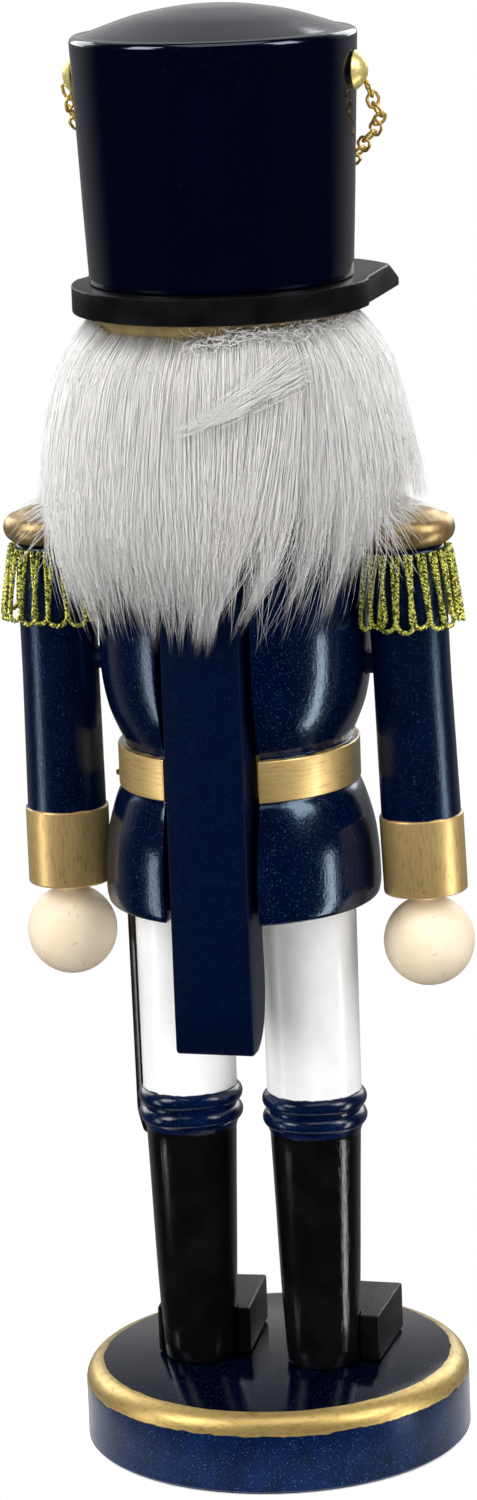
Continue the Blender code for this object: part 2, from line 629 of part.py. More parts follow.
def make_hat_chain():
    """The swag between the tacks, as a plain rod along the chain's middle line."""
    curve = bpy.data.curves.new("hat_chain", "CURVE")
    curve.dimensions = "3D"
    curve.bevel_depth = CHAIN_RADIUS
    curve.bevel_resolution = 1
    curve.use_fill_caps = True
    count = 23
    spline = curve.splines.new("POLY")
    spline.points.add(count - 1)
    start = math.radians(13)
    for i, point in enumerate(spline.points):
        share = i / (count - 1)
        around = start + share * (math.pi - 2 * start)
        drop = CHAIN_DROP * math.sin(around) ** 0.75
        slack = 0.0034 + 0.0030 * abs(math.cos(around)) ** 2
        radius = TACK_SEAT - drop * HAT_TAPER + slack
        point.co = (radius * math.cos(around), -radius * math.sin(around), -drop - 0.0012, 1)
    return add_object("hat_chain", curve, BRASS, metallic=1.0, parent=CHAIN_AXIS)


# ---- assembly -----------------------------------------------------------------------------------
HAT_TAPER = (CROWN_TOP_RADIUS - CROWN_BOTTOM_RADIUS) / (CROWN_HEIGHT - 0.0082)
TACK_SEAT = CROWN_BOTTOM_RADIUS + (TACK_Z - CROWN_BOTTOM) * HAT_TAPER

clear_scene()
PARTS = new_collection("nutcracker")
CUTTERS = new_collection("cutters")
FIGURE = add_empty("figure", (FIGURE_X, FIGURE_Y, 0))
JAW_AXIS = add_empty("jaw_axis", (0, PIVOT_Y, PIVOT_Z))
JAW_AXIS.parent = FIGURE
CHAIN_AXIS = add_empty("chain_axis", (0, 0, TACK_Z))
CHAIN_AXIS.parent = FIGURE

make_base()
make_coat_body()
make_belt_buckle()
make_coat_button("top", 0.2160, CHEST_RADIUS, 0)
make_coat_button("middle", 0.2070, 0.0346, 11)
make_coat_button("bottom", 0.1985, 0.0326, 20)
for side_name, side_sign in SIDES.items():
    make_leg(side_name, side_sign)
    make_foot(side_name, side_sign)
    make_leg_dowel(side_name, side_sign)
    make_arm(side_name, side_sign)
    make_arm_dowel(side_name, side_sign)
    make_fringe(side_name, bpy.data.objects["arm_axis_" + side_name])
    make_neck_dowel(side_name, side_sign)
    make_hat_tack(side_name, side_sign)
make_sword()
make_head()
make_nose()
make_moustache()
make_jaw_lever()
make_jaw_pin()
make_hair()
make_beard()
make_hat_brim()
make_hat_crown()
make_hat_dowel()
make_hat_chain()
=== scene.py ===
"""Looks of the wooden soldier nutcracker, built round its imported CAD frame.

Metres, +Z up. The figure faces -Y, so its own left is +X. It is seen from behind.
"""

import json
import math

import bmesh
import bpy
import numpy as np
from mathutils import Matrix, Vector


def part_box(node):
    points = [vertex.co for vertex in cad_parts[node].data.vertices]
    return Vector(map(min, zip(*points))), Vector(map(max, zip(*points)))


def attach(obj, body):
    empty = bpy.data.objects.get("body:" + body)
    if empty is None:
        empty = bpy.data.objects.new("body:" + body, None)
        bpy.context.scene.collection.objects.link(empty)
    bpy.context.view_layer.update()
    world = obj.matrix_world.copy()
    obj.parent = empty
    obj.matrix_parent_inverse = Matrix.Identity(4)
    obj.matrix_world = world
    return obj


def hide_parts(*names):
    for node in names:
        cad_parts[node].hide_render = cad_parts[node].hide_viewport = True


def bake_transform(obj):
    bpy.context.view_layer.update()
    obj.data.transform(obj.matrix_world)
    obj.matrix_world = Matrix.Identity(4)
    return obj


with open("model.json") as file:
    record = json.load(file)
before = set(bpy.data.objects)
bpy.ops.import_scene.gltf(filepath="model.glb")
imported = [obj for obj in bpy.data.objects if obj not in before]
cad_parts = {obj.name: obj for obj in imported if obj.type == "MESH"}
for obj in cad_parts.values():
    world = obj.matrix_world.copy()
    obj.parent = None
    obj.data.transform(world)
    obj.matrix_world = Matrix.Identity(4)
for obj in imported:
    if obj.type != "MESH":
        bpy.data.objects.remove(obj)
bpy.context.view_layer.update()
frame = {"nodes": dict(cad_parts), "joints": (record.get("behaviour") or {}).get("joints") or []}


# ---- measures -----------------------------------------------------------------------------------
def middle(node):
    low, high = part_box(node)
    return (low + high) / 2


def low_z(node):
    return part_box(node)[0].z


def high_z(node):
    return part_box(node)[1].z


GAP = 0.0003
AXIS = Vector((middle("hat_crown").x, middle("hat_crown").y, 0))
PIVOT = Vector(next(j for j in frame["joints"] if j["name"] == "jaw_hinge")["pos_m"])
SIDES = {"left": 1, "right": -1}
BASE_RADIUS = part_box("base")[1].x
BASE_TOP = high_z("base")
HEM_Z = low_z("coat_body")
SHOULDER_Z = high_z("coat_body")
HEAD_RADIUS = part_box("head")[1].x - AXIS.x
HEAD_TOP = high_z("head")
MOUTH_TOP = 0.2720
BRIM_BOTTOM = low_z("hat_brim")
BRIM_TOP = high_z("hat_brim")
CROWN_BOTTOM = low_z("hat_crown")
CROWN_TOP = high_z("hat_crown")
RIM_Z = CROWN_TOP - 0.0082
RIM_RADIUS = 0.0363
CROWN_RADIUS = 0.0337
TACK_Z = middle("hat_tack_left").z
HAT_TAPER = (RIM_RADIUS - CROWN_RADIUS) / (RIM_Z - CROWN_BOTTOM)
BELT = (0.1797, 0.1906)
CHEST_RADIUS = 0.0351
SLOT_HALF = 0.0125
LEVER_HALF = (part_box("jaw_lever")[1].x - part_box("jaw_lever")[0].x) / 2
LEVER_BACK = 0.0355
LEVER_INNER = LEVER_BACK - 0.0140
ARM_TOP = high_z("arm_left")
SHOULDER_X = {"left": 0.0474, "right": -0.0454}
ARM_LEAN = {"left": 0.0, "right": math.radians(2.0)}
SLEEVE_RADIUS = 0.0103
EPAULETTE_RADIUS = 0.0133
FRINGE_REACH = 0.0138
HIP_AZIMUTH = math.radians(63)
HIP_RADIUS = 0.0376
HIP_Z = high_z("scabbard")
LEG_X = 0.0169
KNEE_Z = 0.0915
BOOT_TOP = 0.0854
KNEE_TOP = 0.0963
PAINT_EDGE = 0.0003
CUFF = (0.1500, 0.17135)
HAND_RADIUS = 0.0118
HAND_Z = 0.1376
ARM_DOWEL_X = 0.0390
TEETH = 7
NECK_X = 0.0215
DOWEL_BORE = 0.0033
SCREW_BORE = 0.0022
PIN_BORE = 0.0023
HAT_BORE = 0.0043
LYING_ACROSS = Matrix.Rotation(math.radians(90), 4, "Y")
FACING_FRONT = Matrix.Rotation(math.radians(90), 4, "X")
CAMERA_DEGREES = 15
CAMERA_AZIMUTH = math.radians(CAMERA_DEGREES)

# ---- colours (linear) ---------------------------------------------------------------------------
NAVY = (0.0001, 0.0028, 0.0180)
NAVY_DEEP = (0.0001, 0.0017, 0.0130)
NAVY_FLAT = (0.0001, 0.0026, 0.0150)
NAVY_BASE = (0.0008, 0.0070, 0.0400)
NAVY_HAT = (0.0001, 0.0005, 0.0060)
NAVY_HAT_DEEP = (0.0001, 0.0003, 0.0040)
# Light blue of the lacquer's flake specks: real flake, painted bright as painted glints.
FLECK_GLINT = (0.12, 0.24, 0.50)
BLUE_SHEEN = (0.50, 0.74, 1.0, 1.0)
GOLD = (0.74, 0.52, 0.21)
GOLD_DARK = (0.46, 0.31, 0.10)
BEVEL_TONES = ((0.34, 0.23, 0.07), (0.55, 0.39, 0.14))
DISC_TONES = ((0.25, 0.16, 0.055), (0.40, 0.275, 0.12))
BLACK = (0.0020, 0.0019, 0.0023)
CHARCOAL = (0.0016, 0.0016, 0.0016)
WHITE = (0.80, 0.80, 0.80)
BEIGE = (0.80, 0.68, 0.51)
BEIGE_DARK = (0.62, 0.45, 0.26)
SKIN = (0.76, 0.47, 0.31)
BLUSH = (0.72, 0.20, 0.13)
# Bare wood of the head's back, in the darker tone it shows in the brim's shade: wood colour with painted
# shade.
WOOD_SHADED = (0.20, 0.145, 0.055)
WOOD_SHADED_DARK = (0.12, 0.08, 0.028)
BRASS = (0.84, 0.70, 0.28)
BRASS_WORN = (0.62, 0.48, 0.15)
CHAIN_TONES = ((0.60, 0.38, 0.06), (0.90, 0.66, 0.20))
FUR = (0.905, 0.892, 0.875)
# Fringe cord: a painted glint tone and a painted shade tone, mixed in specks.
CORD_PAINTED_GLINT = (0.95, 0.94, 0.22)
CORD_PAINTED_SHADE = (0.085, 0.090, 0.006)


# ---- node materials -----------------------------------------------------------------------------
class Finish:
    """One Principled material with short-hand for the nodes that feed it."""

    def __init__(self, name, **constants):
        self.material = bpy.data.materials.new(name)
        self.material.use_nodes = True
        self.tree = self.material.node_tree
        self.shader = self.tree.nodes["Principled BSDF"]
        for socket, value in constants.items():
            self.shader.inputs[socket.replace("_", " ")].default_value = value
        self.point = self.tree.nodes.new("ShaderNodeTexCoord").outputs["Object"]

    def feed(self, socket, value):
        if isinstance(value, bpy.types.NodeSocket):
            self.tree.links.new(value, socket)
        elif hasattr(value, "__len__") and len(value) == 3 and socket.type == "RGBA":
            socket.default_value = (*value, 1.0)
        else:
            socket.default_value = value

    def math(self, operation, a, b=0.0):
        node = self.tree.nodes.new("ShaderNodeMath")
        node.operation = operation
        self.feed(node.inputs[0], a)
        self.feed(node.inputs[1], b)
        return node.outputs[0]

    def times(self, a, b):
        return self.math("MULTIPLY", a, b)

    def minus(self, a, b):
        return self.math("SUBTRACT", a, b)

    def split(self):
        node = self.tree.nodes.new("ShaderNodeSeparateXYZ")
        self.feed(node.inputs[0], self.point)
        return node.outputs

    def from_point(self, centre, stretch=(1, 1, 1)):
        """Coordinates measured from a centre, then multiplied by a stretch."""
        node = self.tree.nodes.new("ShaderNodeMapping")
        node.vector_type = "POINT"
        self.feed(node.inputs["Vector"], self.point)
        node.inputs["Location"].default_value = [-c * s for c, s in zip(centre, stretch, strict=True)]
        node.inputs["Scale"].default_value = stretch
        return node.outputs[0]

    def length(self, vector):
        node = self.tree.nodes.new("ShaderNodeVectorMath")
        node.operation = "LENGTH"
        self.feed(node.inputs[0], vector)
        return node.outputs["Value"]

    def noise(self, stretch, detail=2.0, roughness=0.5, distortion=0.0):
        """Noise whose features are 1/stretch metres across."""
        node = self.tree.nodes.new("ShaderNodeTexNoise")
        self.feed(node.inputs["Vector"], self.from_point((0, 0, 0), stretch))
        node.inputs["Scale"].default_value = 1.0
        node.inputs["Detail"].default_value = detail
        node.inputs["Roughness"].default_value = roughness
        node.inputs["Distortion"].default_value = distortion
        return node.outputs["Fac"]

    def step(self, value, low, high):
        """0 below low and 1 above high; swapped limits turn it round."""
        node = self.tree.nodes.new("ShaderNodeMapRange")
        node.interpolation_type = "SMOOTHSTEP"
        flip = low > high
        self.feed(node.inputs["Value"], value)
        node.inputs["From Min"].default_value = min(low, high)
        node.inputs["From Max"].default_value = max(low, high)
        node.inputs["To Min"].default_value = 1.0 if flip else 0.0
        node.inputs["To Max"].default_value = 0.0 if flip else 1.0
        return node.outputs["Result"]

    def band(self, value, low, high, soft):
        rise = self.step(value, low - soft, low + soft)
        return self.times(rise, self.step(value, high + soft, high - soft))

    def colour(self, factor, a, b):
        node = self.tree.nodes.new("ShaderNodeMix")
        node.data_type = "RGBA"
        self.feed(node.inputs[0], factor)
        self.feed(node.inputs[6], a)
        self.feed(node.inputs[7], b)
        return node.outputs[2]

    def number(self, factor, a, b):
        node = self.tree.nodes.new("ShaderNodeMix")
        node.data_type = "FLOAT"
        self.feed(node.inputs[0], factor)
        self.feed(node.inputs[2], a)
        self.feed(node.inputs[3], b)
        return node.outputs[0]

    def spot(self, centre, radii, soft=0.15):
        """1 inside an ellipsoid, 0 outside it."""
        reach = self.length(self.from_point(centre, [1 / r for r in radii]))
        return self.step(reach, 1 + soft, 1 - soft)

    def over(self, layer, mask, top):
        """Lays one paint (colour, roughness, metallic, height) over another through a mask."""
        return (
            self.colour(mask, layer[0], top[0]),
            self.number(mask, layer[1], top[1]),
            self.number(mask, layer[2], top[2]),
            self.number(mask, layer[3], top[3]),
        )

    def done(self, layer, relief):
        """Connects the finished paint; relief is the height in metres of a bump of 1."""
        colour, roughness, metallic, height = layer
        self.feed(self.shader.inputs["Base Color"], colour)
        self.feed(self.shader.inputs["Roughness"], roughness)
        self.feed(self.shader.inputs["Metallic"], metallic)
        bump = self.tree.nodes.new("ShaderNodeBump")
        bump.inputs["Distance"].default_value = relief
        self.feed(bump.inputs["Height"], height)
        self.feed(self.shader.inputs["Normal"], bump.outputs[0])
        return self.material


def navy_paint(f, grain=(900, 900, 900), roughness=0.2, fleck_glint_share=1.0, deep=NAVY_DEEP, light=NAVY):
    """Navy lacquer: cloudy depth, orange peel, wood grain telegraphing through, fine metal flake painted as
    light specks (painted glints).
    """
    cloud = f.noise((140, 140, 90), 3.0)
    peel = f.noise((1500, 1500, 1100), 2.0)
    grain_height = f.noise(grain, 3.0, 0.6)
    # light blue specks: the lacquer's real flake, painted bright as painted glints
    fleck_glint = f.step(f.noise((3600, 3600, 3600), 0.0), 0.74, 0.80)
    colour = f.colour(f.step(cloud, 0.3, 0.7), deep, light)
    colour = f.colour(f.times(fleck_glint, 0.55 * fleck_glint_share), colour, FLECK_GLINT)
    rough = f.number(peel, roughness - 0.04, roughness + 0.06)
    height = f.math("ADD", f.times(peel, 0.5), f.times(grain_height, 0.5))
    return colour, rough, 0.0, height


def gold_leafing(f, streaks, tones=(GOLD_DARK, GOLD), metallic=0.72):
    """Brushed gold paint: directional streaks, thin darker patches and small nicks."""
    streak = f.noise(streaks, 4.0, 0.65)
    patch = f.noise((260, 260, 260), 3.0)
    nick = f.step(f.noise((900, 900, 900), 1.0), 0.76, 0.82)
    colour = f.colour(f.step(streak, 0.22, 0.55), *tones)
    colour = f.colour(f.times(f.step(patch, 0.5, 0.85), 0.25), colour, tones[0])
    colour = f.colour(f.times(nick, 0.6), colour, (0.10, 0.06, 0.02))
    rough = f.number(streak, 0.45, 0.34)
    height = f.minus(f.times(streak, 0.5), f.times(nick, 0.5))
    return colour, rough, metallic, height


def plain_paint(f, colour, darker, roughness, grain=(500, 500, 500), contrast=0.5):
    cloud = f.noise((120, 120, 120), 3.0)
    fine = f.noise(grain, 3.0, 0.6)
    share = f.times(f.step(cloud, 0.35, 0.75), contrast)
    return f.colour(share, colour, darker), f.number(fine, roughness - 0.05, roughness + 0.07), 0.0, fine


def wobbly(f, value, amount, grain=(220, 220, 220)):
    """A coordinate with a hand-painted waver added."""
    wave = f.minus(f.noise(grain, 3.0), 0.5)
    return f.math("ADD", value, f.times(wave, amount))


def base_finish():
    f = Finish("base_paint", Specular_IOR_Level=0.15, Specular_Tint=BLUE_SHEEN)
    height = f.split()[2]
    radius = f.length(f.from_point((0, 0, 0), (1, 1, 0)))
    side = navy_paint(f, (700, 700, 1500), 0.28, 1.0, NAVY, NAVY_BASE)
    # the top gets a darker navy than the side: painted shade on the top, besides a glossier finish
    top = navy_paint(f, (500, 500, 500), 0.09, 0.4, NAVY_HAT_DEEP, NAVY_HAT)
    layer = f.over(side, f.step(height, BASE_TOP - 0.0006, BASE_TOP - 0.0002), top)
    gold = gold_leafing(f, (350, 350, 1400), BEVEL_TONES, 0.80)
    above = f.step(wobbly(f, height, 0.0016), 0.01585, 0.0162)
    outside = f.step(wobbly(f, radius, 0.0010), 0.0462, 0.0466)
    return f.done(f.over(layer, f.times(above, outside), gold), 0.00004)


def coat_finish():
    f = Finish("coat_paint", Specular_Tint=BLUE_SHEEN, Coat_Weight=0.15, Coat_Roughness=0.05)
    height = wobbly(f, f.split()[2], 0.0007)
    layer = navy_paint(f, (900, 900, 260), 0.15, 0.6)
    gold = gold_leafing(f, (160, 160, 2200))
    layer = f.over(layer, f.band(height, *BELT, 0.00012), gold)
    return f.done(layer, 0.00008)


def arm_finish():
    f = Finish("sleeve_paint", Specular_IOR_Level=0.7, Specular_Tint=BLUE_SHEEN)
    height = wobbly(f, f.split()[2], 0.0008)
    layer = navy_paint(f, (2200, 2200, 160), 0.23, 0.35)
    gold = gold_leafing(f, (1500, 1500, 260))
    cuff = f.band(height, CUFF[0] - ARM_TOP, CUFF[1] - ARM_TOP, 0.00012)
    return f.done(f.over(layer, cuff, gold), 0.00010)


def leg_finish():
    f = Finish("leg_paint", Specular_IOR_Level=0.4)
    height = wobbly(f, f.split()[2], 0.0009, (300, 300, 300))
    boot = plain_paint(f, BLACK, (0.0042, 0.0041, 0.0045), 0.12, (1400, 1400, 120), 1.0)
    knee = navy_paint(f, (500, 500, 1500), 0.18, 0.4, NAVY, NAVY_BASE)
    white = plain_paint(f, WHITE, (0.72, 0.72, 0.71), 0.24, (300, 300, 90), 0.6)
    layer = f.over(boot, f.step(height, BOOT_TOP, BOOT_TOP + PAINT_EDGE), knee)
    layer = f.over(layer, f.step(height, KNEE_TOP, KNEE_TOP + PAINT_EDGE), white)
    return f.done(layer, 0.00007)


def lever_finish():
    f = Finish("lever_paint", Specular_IOR_Level=0.06)
    x, y, z = f.split()
    layer = plain_paint(f, NAVY_FLAT, NAVY_DEEP, 0.42, (2600, 2600, 1500), 0.4)
    speckle = f.step(f.noise((2400, 2400, 2400), 1.0), 0.55, 0.75)
    layer = (f.colour(f.times(speckle, 0.4), layer[0], (0.004, 0.016, 0.062)), *layer[1:])
    face = f.step(y, AXIS.y - 0.0195, AXIS.y - 0.0200)
    layer = f.over(layer, face, skin_paint(f))
    gum = f.times(f.step(z, 0.26150, 0.26165), f.step(y, AXIS.y - 0.0290, AXIS.y - 0.0293))
    return f.done(f.over(layer, gum, tooth_paint(f, x)), 0.00005)


def tooth_paint(f, x):
    """White teeth with dark gaps, in a row across the mouth."""
    pitch = 2 * LEVER_HALF / TEETH
    place = f.math("DIVIDE", f.minus(x, AXIS.x - LEVER_HALF), pitch)
    off = f.math("ABSOLUTE", f.minus(f.math("FRACT", place), 0.5))
    gap = f.step(off, 0.44, 0.47)
    return f.colour(gap, (0.82, 0.80, 0.74), (0.03, 0.02, 0.02)), 0.22, 0.0, f.minus(1.0, gap)


def skin_paint(f):
    return plain_paint(f, SKIN, (0.66, 0.37, 0.22), 0.36, (600, 600, 600), 0.35)


def head_finish():
    """Painted face on the front; thin paint over wood grain behind, in a darker tone that is partly painted
    shade from the brim.
    """
    f = Finish("head_paint")
    x, y, z = f.split()
    front = AXIS.y - HEAD_RADIUS
    layer = skin_paint(f)
    # the bare wood behind is darkened as painted shade from the brim
    bare = plain_paint(f, WOOD_SHADED, WOOD_SHADED_DARK, 0.5, (900, 900, 60), 1.0)
    layer = f.over(layer, f.step(y, AXIS.y - 0.004, AXIS.y), bare)
    for sign in SIDES.values():
        blush = f.spot((AXIS.x + sign * 0.0165, front + 0.006, 0.2815), (0.0062, 0.02, 0.0050), 0.9)
        layer = f.over(layer, f.times(blush, 0.55), (BLUSH, 0.36, 0.0, 0.5))
        layer = eye_paint(f, layer, AXIS.x + sign * 0.0100, front + 0.002, 0.2925, sign)
    below = f.times(f.step(z, 0.27720, 0.27705), f.step(y, front + 0.0120, front + 0.0117))
    mouth = f.times(below, f.band(x, AXIS.x - LEVER_HALF, AXIS.x + LEVER_HALF, 0.0001))
    layer = f.over(layer, mouth, tooth_paint(f, x))
    lip = f.times(f.band(z, 0.2768, 0.2778, 0.00015), f.step(y, front + 0.0120, front + 0.0117))
    lip = f.times(lip, f.band(x, AXIS.x - 0.0112, AXIS.x + 0.0112, 0.0003))
    return f.done(f.over(layer, lip, ((0.45, 0.05, 0.04), 0.3, 0.0, 0.6)), 0.00004)


def eye_paint(f, layer, x, y, z, sign):
    """Calm open eye: lid line, white, iris, pupil, catch light and a soft brow."""
    deep = 0.02
    for dx, dz, rx, rz, colour in (
        (0, 0.0003, 0.0050, 0.0034, (0.02, 0.012, 0.010)),
        (0, -0.0001, 0.0046, 0.0029, (0.85, 0.85, 0.83)),
        (0, 0.0, 0.0024, 0.0026, (0.03, 0.14, 0.36)),
        (0, 0.0, 0.0012, 0.0014, (0.004, 0.004, 0.005)),
        (0.0007, 0.0009, 0.0005, 0.0005, (0.9, 0.9, 0.9)),
    ):
        mask = f.spot((x + dx, y, z + dz), (rx, deep, rz), 0.05)
        layer = f.over(layer, mask, (colour, 0.15, 0.0, 0.7))
    brow = f.spot((x + sign * 0.0006, y, z + 0.0062), (0.0062, deep, 0.0011), 0.2)
    return f.over(layer, brow, ((0.66, 0.64, 0.61), 0.5, 0.0, 0.9))


def hand_finish():
    f = Finish("hand_paint")
    layer = plain_paint(f, BEIGE, (0.74, 0.57, 0.37), 0.52, (700, 700, 700), 0.5)
    speck = f.step(f.noise((700, 700, 700), 0.0), 0.76, 0.80)
    layer = f.over(layer, f.times(speck, 0.6), (BEIGE_DARK, 0.6, 0.0, 0.0))
    return f.done(layer, 0.00004)


def brass_finish(name, roughness=0.22, metallic=0.8, tones=(BRASS_WORN, BRASS)):
    f = Finish(name)
    worn = f.noise((900, 900, 900), 4.0, 0.7)
    colour = f.colour(f.step(worn, 0.3, 0.7), *tones)
    return f.done((colour, f.number(worn, roughness + 0.10, roughness - 0.04), metallic, worn), 0.00003)


def gold_finish():
    f = Finish("gold_paint")
    return f.done(gold_leafing(f, (900, 900, 420), DISC_TONES, 0.85), 0.00008)


def plain_finish(name, colour, darker, roughness, grain, relief, contrast=0.6, **constants):
    f = Finish(name, **constants)
    return f.done(plain_paint(f, colour, darker, roughness, grain, contrast), relief)


def navy_finish():
    f = Finish("hat_paint", Specular_IOR_Level=0.62, Specular_Tint=(0.74, 0.82, 1.0, 1.0))
    return f.done(navy_paint(f, (500, 500, 120), 0.11, 0.06, NAVY_HAT_DEEP, NAVY_HAT), 0.00003)


def fur_finish():
    f = Finish("white_fur", Specular_IOR_Level=0.25, Subsurface_Weight=0.5, Subsurface_Scale=0.0015,
               Subsurface_Radius=(1.0, 1.0, 1.0))
    strand = f.noise((2500, 2500, 90), 2.0)
    wide = f.noise((160, 160, 40), 2.0)
    colour = f.colour(f.step(strand, 0.25, 0.6), (0.79, 0.775, 0.76), FUR)
    colour = f.colour(f.times(f.step(wide, 0.5, 0.8), 0.4), colour, (0.83, 0.805, 0.775))
    return f.done((colour, f.number(strand, 0.55, 0.40), 0.0, strand), 0.00002)


def cord_finish():
    f = Finish("fringe_cord")
    glint = f.noise((1500, 1500, 1500), 1.0, 0.6)
    # the cord's colour is specks of painted glint and painted shade
    colour = f.colour(f.step(glint, 0.43, 0.56), CORD_PAINTED_SHADE, CORD_PAINTED_GLINT)
    return f.done((colour, f.number(glint, 0.45, 0.22), 0.55, glint), 0.00030)


def steel_finish():
    f = Finish("steel")
    scratch = f.noise((1500, 1500, 200), 3.0, 0.7)
    colour = f.colour(scratch, (0.40, 0.40, 0.41), (0.68, 0.68, 0.69))
    return f.done((colour, f.number(scratch, 0.45, 0.28), 1.0, scratch), 0.00002)


# ---- mesh helpers -------------------------------------------------------------------------------
def mesh_of(name, bm, angle=40):
    mesh = bpy.data.meshes.new(name)
    bmesh.ops.recalc_face_normals(bm, faces=bm.faces)
    bm.to_mesh(mesh)
    bm.free()
    mesh.shade_smooth()
    mesh.set_sharp_from_angle(angle=math.radians(angle))
    return mesh


def quick_mesh(name, points, faces):
    """A mesh of triangles from two arrays."""
    mesh = bpy.data.meshes.new(name)
    mesh.vertices.add(len(points))
    mesh.vertices.foreach_set("co", np.ascontiguousarray(points, np.float32).ravel())
    mesh.loops.add(faces.size)
    mesh.loops.foreach_set("vertex_index", np.ascontiguousarray(faces, np.int32).ravel())
    mesh.polygons.add(len(faces))
    mesh.polygons.foreach_set("loop_start", np.arange(0, faces.size, 3, dtype=np.int32))
    mesh.update(calc_edges=True)
    mesh.shade_smooth()
    return mesh


def placed(name, data):
    obj = bpy.data.objects.new(name, data)
    bpy.context.scene.collection.objects.link(obj)
    return obj


def show(name, mesh, finish, body, nodes=(), matrix=None):
    """Puts a piece in the scene and says what it rides on, is made of and stands in for."""
    obj = placed(name, mesh)
    mesh.materials.clear()
    mesh.materials.append(finish)
    if matrix is not None:
        obj.matrix_world = matrix
    if body:
        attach(obj, body)
    if nodes:
        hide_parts(*nodes)
    return obj


def arc(centre, radius, start, end, points):
    """Points of a circular arc between two angles in degrees."""
    angles = [math.radians(start + (end - start) * i / (points - 1)) for i in range(points)]
    return [(centre[0] + radius * math.cos(a), centre[1] + radius * math.sin(a)) for a in angles]


def rounded(outline, size, points=4, closed=False):
    """Rounds each corner of an outline by up to size."""
    count = len(outline)
    result = []
    for i, corner in enumerate(outline):
        if not closed and i in (0, count - 1):
            result.append(tuple(corner))
            continue
        here = Vector(corner)
        before = Vector(outline[i - 1]) - here
        after = Vector(outline[(i + 1) % count]) - here
        start = here + before.normalized() * min(size, before.length * 0.45)
        end = here + after.normalized() * min(size, after.length * 0.45)
        for j in range(points + 1):
            t = j / points
            spot = start * (1 - t) ** 2 + here * 2 * t * (1 - t) + end * t * t
            result.append(tuple(spot))
    return result


def flowing(knots, per_span=6):
    """A smooth curve through the knots."""
    path = [Vector(k) for k in (knots[0], *knots, knots[-1])]
    result = []
    for i in range(1, len(path) - 2):
        a, b, c, d = path[i - 1 : i + 3]
        for j in range(per_span):
            t = j / per_span
            spot = 2 * b + (c - a) * t + (2 * a - 5 * b + 4 * c - d) * t * t
            result.append(tuple((spot + (3 * b - a - 3 * c + d) * t**3) / 2))
    return [*result, tuple(knots[-1])]


def turned(name, profile, sides=128, matrix=None, angle=32):
    """Lathe work from an (r, z) outline that runs down the outside and ends on the axis."""
    bm = bmesh.new()
    rings = []
    for r, z in profile:
        if r < 1e-7:
            rings.append([bm.verts.new((0, 0, z))])
            continue
        turns = [2 * math.pi * i / sides for i in range(sides)]
        rings.append([bm.verts.new((r * math.cos(t), r * math.sin(t), z)) for t in turns])
    for upper, lower in zip(rings, rings[1:], strict=False):
        for i in range(sides):
            j = (i + 1) % sides
            corners = [upper[i % len(upper)], lower[i % len(lower)]]
            corners += [lower[j % len(lower)], upper[j % len(upper)]]
            unique = list(dict.fromkeys(corners))
            if len(unique) > 2:
                bm.faces.new(unique)
    if matrix is not None:
        bm.transform(matrix)
    return mesh_of(name, bm, angle)


def on_axis(x=0.0, y=0.0, z=0.0):
    """A place measured from the figure's turning axis."""
    return Matrix.Translation((AXIS.x + x, AXIS.y + y, z))


def bore(radius, low, high, matrix, sides=32):
    """A plain rod, to be taken out of a piece."""
    return turned("bore", [(0, high), (radius, high), (radius, low), (0, low)], sides, matrix)


def box_mesh(name, low, high, bevel=0.0, segments=3, matrix=None):
    bm = bmesh.new()
    bmesh.ops.create_cube(bm, size=1.0)
    size = [b - a for a, b in zip(low, high, strict=True)]
    bmesh.ops.scale(bm, vec=size, verts=bm.verts)
    bmesh.ops.translate(bm, vec=[(a + b) / 2 for a, b in zip(low, high, strict=True)], verts=bm.verts)
    if bevel:
        bmesh.ops.bevel(bm, geom=bm.edges, offset=bevel, segments=segments, affect="EDGES", profile=0.5)
    if matrix is not None:
        bm.transform(matrix)
    return mesh_of(name, bm)


def board(name, outline, thickness, bevel, segments=3, matrix=None):
    """A sawn outline with thickness, centred on its plane, all its edges eased."""
    bm = bmesh.new()
    flat = [bm.verts.new((x, y, -thickness / 2)) for x, y in outline]
    face = bm.faces.new(flat)
    lift = bmesh.ops.extrude_face_region(bm, geom=[face])
    raised = [v for v in lift["geom"] if isinstance(v, bmesh.types.BMVert)]
    bmesh.ops.translate(bm, vec=(0, 0, thickness), verts=raised)
    bmesh.ops.recalc_face_normals(bm, faces=bm.faces)
    if bevel:
        sharp = [e for e in bm.edges if e.calc_face_angle(0) > math.radians(50)]
        bmesh.ops.bevel(bm, geom=sharp, offset=bevel, segments=segments, affect="EDGES", profile=0.5)
    if matrix is not None:
        bm.transform(matrix)
    return mesh_of(name, bm)


def carved(mesh, cutters, bevel=0.0):
    """The mesh with the cutters taken out of it."""
    work = placed(mesh.name + "_work", mesh)
    tools = []
    for i, cutter in enumerate(cutters):
        tool = placed(f"{mesh.name}_tool{i}", cutter)
        tools.append(tool)
        boolean = work.modifiers.new("Cut", "BOOLEAN")
        boolean.operation = "DIFFERENCE"
        boolean.solver = "EXACT"
        boolean.object = tool
    if bevel:
        ease = work.modifiers.new("Ease", "BEVEL")
        ease.width = bevel
        ease.segments = 3
        ease.limit_method = "ANGLE"
        ease.angle_limit = math.radians(60)
    bpy.context.view_layer.update()
    result = bpy.data.meshes.new_from_object(work.evaluated_get(bpy.context.evaluated_depsgraph_get()))
    for obj in (work, *tools):
        bpy.data.objects.remove(obj)
    result.shade_smooth()
    result.set_sharp_from_angle(angle=math.radians(38))
    return result


def unit(vectors):
    """The same directions, each one long."""
    return vectors / (np.linalg.norm(vectors, axis=-1, keepdims=True) + 1e-12)


def crosswise(tangent, helper):
    """Two directions square to a line and to each other."""
    across = unit(np.cross(tangent, helper))
    return across, np.cross(across, tangent)


